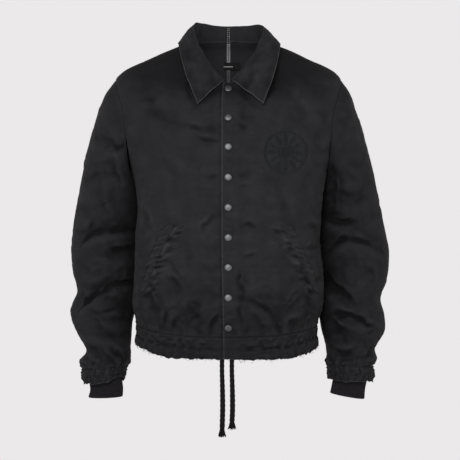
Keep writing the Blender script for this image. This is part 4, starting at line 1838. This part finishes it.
@dataclass
class Sewing:
    """Rows of lockstitch: short threads that dip into the cloth at both ends."""

    form: BodyForm
    stitch: float = 2.9
    gap: float = 1.1
    thread: float = 0.36
    made: int = 0

    def row(self, points: Array, normals: Array, lift: float = 0.15) -> Array:
        """Paths of the stitches along a line of points.

        Args:
            points: The line, close enough together to be smooth.
            normals: The way the cloth faces at each.
            lift: Height of a stitch over the cloth.

        Returns:
            Stitches by three points by 3.
        """
        run = run_lengths(points, 0)
        starts = np.arange(0.5, run[-1] - self.stitch, self.stitch + self.gap)
        places = starts[:, None] + np.array([0.0, 0.5, 1.0]) * self.stitch
        at = np.stack([np.interp(places, run, points[:, k]) for k in range(3)], axis=-1)
        way = np.stack([np.interp(places, run, normals[:, k]) for k in range(3)], axis=-1)
        return at + way * np.array([-0.15, lift, -0.15])[:, None]

    def body_row(self, angles: Array, levels: Array, over: bool = False) -> Array:
        """A row on the body's cloth through these angles and levels."""
        cloth = self.form.cloth(angles, levels, over=over)
        return self.row(cloth.outer, self.form.normal(angles, levels))

    def sew(self, name: str, rows: list[Array], finish: Finish = SEWING_THREAD) -> None:
        """Makes one piece of all the stitches of some rows."""
        paths = np.concatenate(rows)
        radius = np.broadcast_to(self.thread * np.array([0.55, 1.0, 0.55]), paths.shape[:2])
        points, faces = strands(paths, radius, 4)
        new_object(name, points, faces, finish)
        self.made += len(paths)

    def sew_fronts(self, panels: BodyPanels) -> None:
        """Rows beside the opening's edge, the armholes, the side seams and the centre back seam."""
        form = self.form
        levels = np.linspace(3.0, form.neck - 2.0, 500)
        edge = form.angle_at_x(form.lap_x(levels) + 6.0, levels)
        self.sew("stitching_opening", [self.body_row(edge, levels, over=True)])
        rows = []
        high = np.linspace(form.underarm, form.shoulder, 240)
        up = np.linspace(form.shoulder, form.neck - 4.0, 120)
        for direction in (-1, 1):
            for levels in (high, up):
                seam = panels.seam_angle(levels, direction)
                seam = seam + direction * 3.0 / form.speed(seam, levels)
                rows.append(self.body_row(seam, levels))
                rows.append(self.body_row(2 * math.pi - seam, levels))
        self.sew("stitching_armholes", rows)
        levels = np.linspace(form.band + 3, form.neck - 3, 420)
        centre = panels.back_centre(levels)
        offset = 3.0 / form.speed(centre, levels)
        self.sew("stitching_back", [self.body_row(centre - offset, levels),
                                    self.body_row(2 * math.pi - centre + offset, levels)])

    def sew_band(self, panels: BodyPanels) -> None:
        """Two rows round the hem band and one above its seam, on fronts and backs."""
        form = self.form
        rows = []
        for level in (36.5, 19.0, 43.5):
            levels = np.full(700, level)
            seam = panels.seam_angle(levels[:1], -1)[0]
            edge = form.angle_at_x(form.lap_x(level) + 2.0, level)
            angles = np.linspace(edge, seam - 0.004, 700)
            rows.append(self.body_row(angles, levels, over=True))
            rows.append(self.body_row(np.linspace(-seam + 0.004, edge - 0.02, 700), levels))
            behind = np.linspace(panels.seam_angle(levels[:1], 1)[0], math.pi - 0.004, 700)
            rows.append(self.body_row(behind, levels))
            rows.append(self.body_row(2 * math.pi - behind, levels))
        self.sew("stitching_hem_band", rows)

    def sew_grid(self, name: str, cloth: Cloth, lines: list[tuple[Array, Array]]) -> None:
        """Rows on a grid of cloth through lists of row and column numbers.

        Args:
            name: The piece's name.
            cloth: The grids.
            lines: For each row, its grid rows and its grid columns.
        """
        facing = unit(cloth.outer - cloth.inner)
        self.sew(name, [self.row(cloth.outer[r, c], facing[r, c]) for r, c in lines])

    def sew_collar(self, cloth: Cloth, inset: float = 6.0) -> None:
        """A row 6 mm in from the collar's front and lower edges."""
        falling = cloth.edge < FAR_FROM_EDGE
        rim = np.abs(np.where(falling, cloth.edge, FAR_FROM_EDGE) - inset)
        columns = np.arange(6, cloth.outer.shape[1] - 6)
        last = cloth.outer.shape[0] - 1
        lower = last - 12 + rim[last - 12:, columns].argmin(axis=0)
        lines = [(lower, columns)]
        rows = np.arange(30, last - 4)
        for column in (5, cloth.outer.shape[1] - 6):
            lines.append((rows, np.full_like(rows, column)))
        self.sew_grid("stitching_collar", cloth, lines)

    def sew_pockets(self, welts: dict[Side, Cloth]) -> None:
        """Rows along both long sides of each welt and across its ends."""
        for side, cloth in welts.items():
            rows, columns = cloth.outer.shape[:2]
            down, over = np.arange(rows), np.arange(2, columns - 2)
            lines = [(down, np.full_like(down, column)) for column in (3, columns - 4)]
            lines += [(np.full_like(over, row), over) for row in (3, rows - 4)]
            self.sew_grid(f"stitching_pocket_{side.word}", cloth, lines)

    def sew_cuffs(self, made: list[Sleeve]) -> None:
        """Two rows round each drawn-in sleeve end: at its seam and where the elastic is held."""
        for sleeve in made:
            cloth = sleeve.drawn_in_end()
            columns = np.arange(cloth.outer.shape[1])
            lines = [(np.full_like(columns, row), columns) for row in (2, 11)]
            self.sew_grid(f"stitching_cuff_{sleeve.side.word}", cloth, lines)

    def sew_neck(self, collar: Cloth) -> None:
        """A dark row up the tape at the centre back and two pale ones up the inside of the stand."""
        form = self.form
        levels = np.linspace(form.neck - 150.0, form.neck, 200)
        angle = np.full_like(levels, math.pi)
        normal = form.normal(angle, levels)
        inside = form.point(angle, levels) - normal * (WALL + 2.1)
        middle = collar.outer.shape[1] // 2
        stand = collar.outer[:14, middle]
        facing = unit(collar.outer - collar.inner)[:14, middle]
        rows = [self.row(stand + (shift, 0, 0), facing, 0.35) for shift in (-1.6, 1.6)]
        self.sew("stitching_stand", rows, PALE_THREAD)
        rows = [self.row(inside + (shift, 0, 0), -normal, 0.35) for shift in (-0.35, 0.35)]
        self.sew("stitching_tape", rows)


@dataclass
class HemFray:
    """Loose cotton yarns along the raw hem edge, each curling down and to one side."""

    form: BodyForm
    count: int = 900
    longest: float = 9.0

    def build(self) -> None:
        """Makes the yarns from seeded random places, lengths and bends."""
        random = np.random.default_rng(81)
        angle = random.uniform(0, 2 * math.pi, self.count)
        level = random.uniform(0.3, 1.6, self.count)
        cloth = self.form.cloth(angle, level)
        facing = self.form.normal(angle, level)
        root = cloth.outer - facing * random.uniform(0.2, WALL, self.count)[:, None]
        ahead = np.cos(angle) > 0.2
        length = 1.2 + self.longest * random.uniform(0, 1, self.count) ** 5 * np.where(ahead, 1.0, 0.7)
        down = np.linspace(0, 1, 5)
        bend = random.normal(0, 0.55, (self.count, 1)) * down**1.5
        lean = random.normal(0.1, 0.3, (self.count, 1)) * down
        sideways = unit(np.cross(facing, (0.0, 0.0, 1.0)))[:, None]
        drop = (0.0, 0.0, -1.0) * (down * np.sqrt(np.clip(1 - (bend * 0.6) ** 2, 0.2, 1)))[..., None]
        paths = root[:, None] + length[:, None, None] * (
            drop + sideways * bend[..., None] + facing[:, None] * lean[..., None])
        radius = np.full(paths.shape[:2], 0.3) * (1 - 0.4 * down)
        points, faces = strands(paths, radius, 3)
        new_object("hem_fray", points, faces, SEWING_THREAD)
        LOG.info("%d frayed yarns", self.count)


# Studio


@dataclass
class Studio:
    """Camera, soft lights, pale surroundings and a plain pale floor well under the jacket."""

    distance: float = 3.2
    width_seen: float = 0.92
    target: tuple = (0.003, 0.0, -0.372)
    sensor_mm: float = 36.0
    floor_z: float = -1.42
    surroundings: str = "ebe9ea"

    def build(self) -> None:
        """Places everything round the jacket."""
        camera = bpy.data.cameras.new("camera")
        camera.sensor_width = self.sensor_mm
        camera.lens = self.sensor_mm * self.distance / self.width_seen
        camera.clip_end = 50.0
        holder = bpy.data.objects.new("camera", camera)
        holder.location = (self.target[0], -self.distance, self.target[2])
        holder.rotation_euler = (math.pi / 2, 0.0, 0.0)
        bpy.context.scene.collection.objects.link(holder)
        bpy.context.scene.camera = holder
        self.light("key light", (-0.4, -2.9, 0.75), 1.2, 36.0)
        world = bpy.data.worlds.new("pale room")
        world.use_nodes = True
        tree = world.node_tree
        way = add_node(tree, "TexCoord").outputs["Generated"]
        up = add_node(tree, "SeparateXYZ", {0: way}).outputs["Z"]
        rise = {"Value": up, "From Min": 0.25, "From Max": 0.75, "To Min": 1, "To Max": 0.25}
        fade = add_node(tree, "MapRange", rise, interpolation_type="SMOOTHSTEP").outputs[0]
        inputs = {"Color": linear(self.surroundings), "Strength": fade}
        set_inputs(tree, tree.nodes["Background"], inputs)
        bpy.context.scene.world = world
        bpy.context.scene.view_settings.view_transform = "Standard"
        self.floor()

    def light(self, name: str, place: tuple, size: float, watts: float) -> None:
        """A square soft light, turned to the jacket's middle."""
        lamp = bpy.data.lights.new(name, "AREA")
        lamp.size = size
        lamp.energy = watts
        holder = bpy.data.objects.new(name, lamp)
        holder.location = place
        away = np.array(place) - np.array(self.target)
        tilt = math.acos(away[2] / np.linalg.norm(away))
        holder.rotation_euler = (tilt, 0.0, math.atan2(away[0], -away[1]))
        bpy.context.scene.collection.objects.link(holder)

    def floor(self) -> None:
        """A round pale floor, smaller than what the camera sees past."""
        mesh = bpy.data.meshes.new("floor")
        turn = np.linspace(0, 2 * math.pi, 96, endpoint=False)
        rim = xyz(2.4 * np.cos(turn), 2.4 * np.sin(turn), self.floor_z + 0 * turn)
        mesh.from_pydata(rim.tolist(), [], [list(range(96))])
        paper = bpy.data.materials.new("studio paper")
        paper.use_nodes = True
        tree = paper.node_tree
        inputs = {"Base Color": linear(self.surroundings), "Roughness": 0.9}
        set_inputs(tree, tree.nodes["Principled BSDF"], inputs)
        mesh.materials.append(paper)
        obj = bpy.data.objects.new("floor", mesh)
        bpy.context.scene.collection.objects.link(obj)


def main() -> None:
    """Builds the looks round the loaded solids."""
    logging.basicConfig(level=logging.INFO, format="%(message)s")
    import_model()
    Studio().build()
    form = BodyForm()
    Drawcords(form).build()
    panels = BodyPanels(form)
    panels.build()
    made = sleeves(form)
    for sleeve in made:
        sleeve.build()
    collar = Collar(form).build()
    welts = PocketWelts(form).build()
    SnapCaps(form).build()
    NeckDetails(form).build()
    ChestBadge(form).build()
    sewing = Sewing(form)
    sewing.sew_fronts(panels)
    sewing.sew_band(panels)
    sewing.sew_collar(collar)
    sewing.sew_pockets(welts)
    sewing.sew_cuffs(made)
    sewing.sew_neck(collar)
    LOG.info("%d stitches", sewing.made)
    HemFray(form).build()


if __name__ == "__main__":
    main()
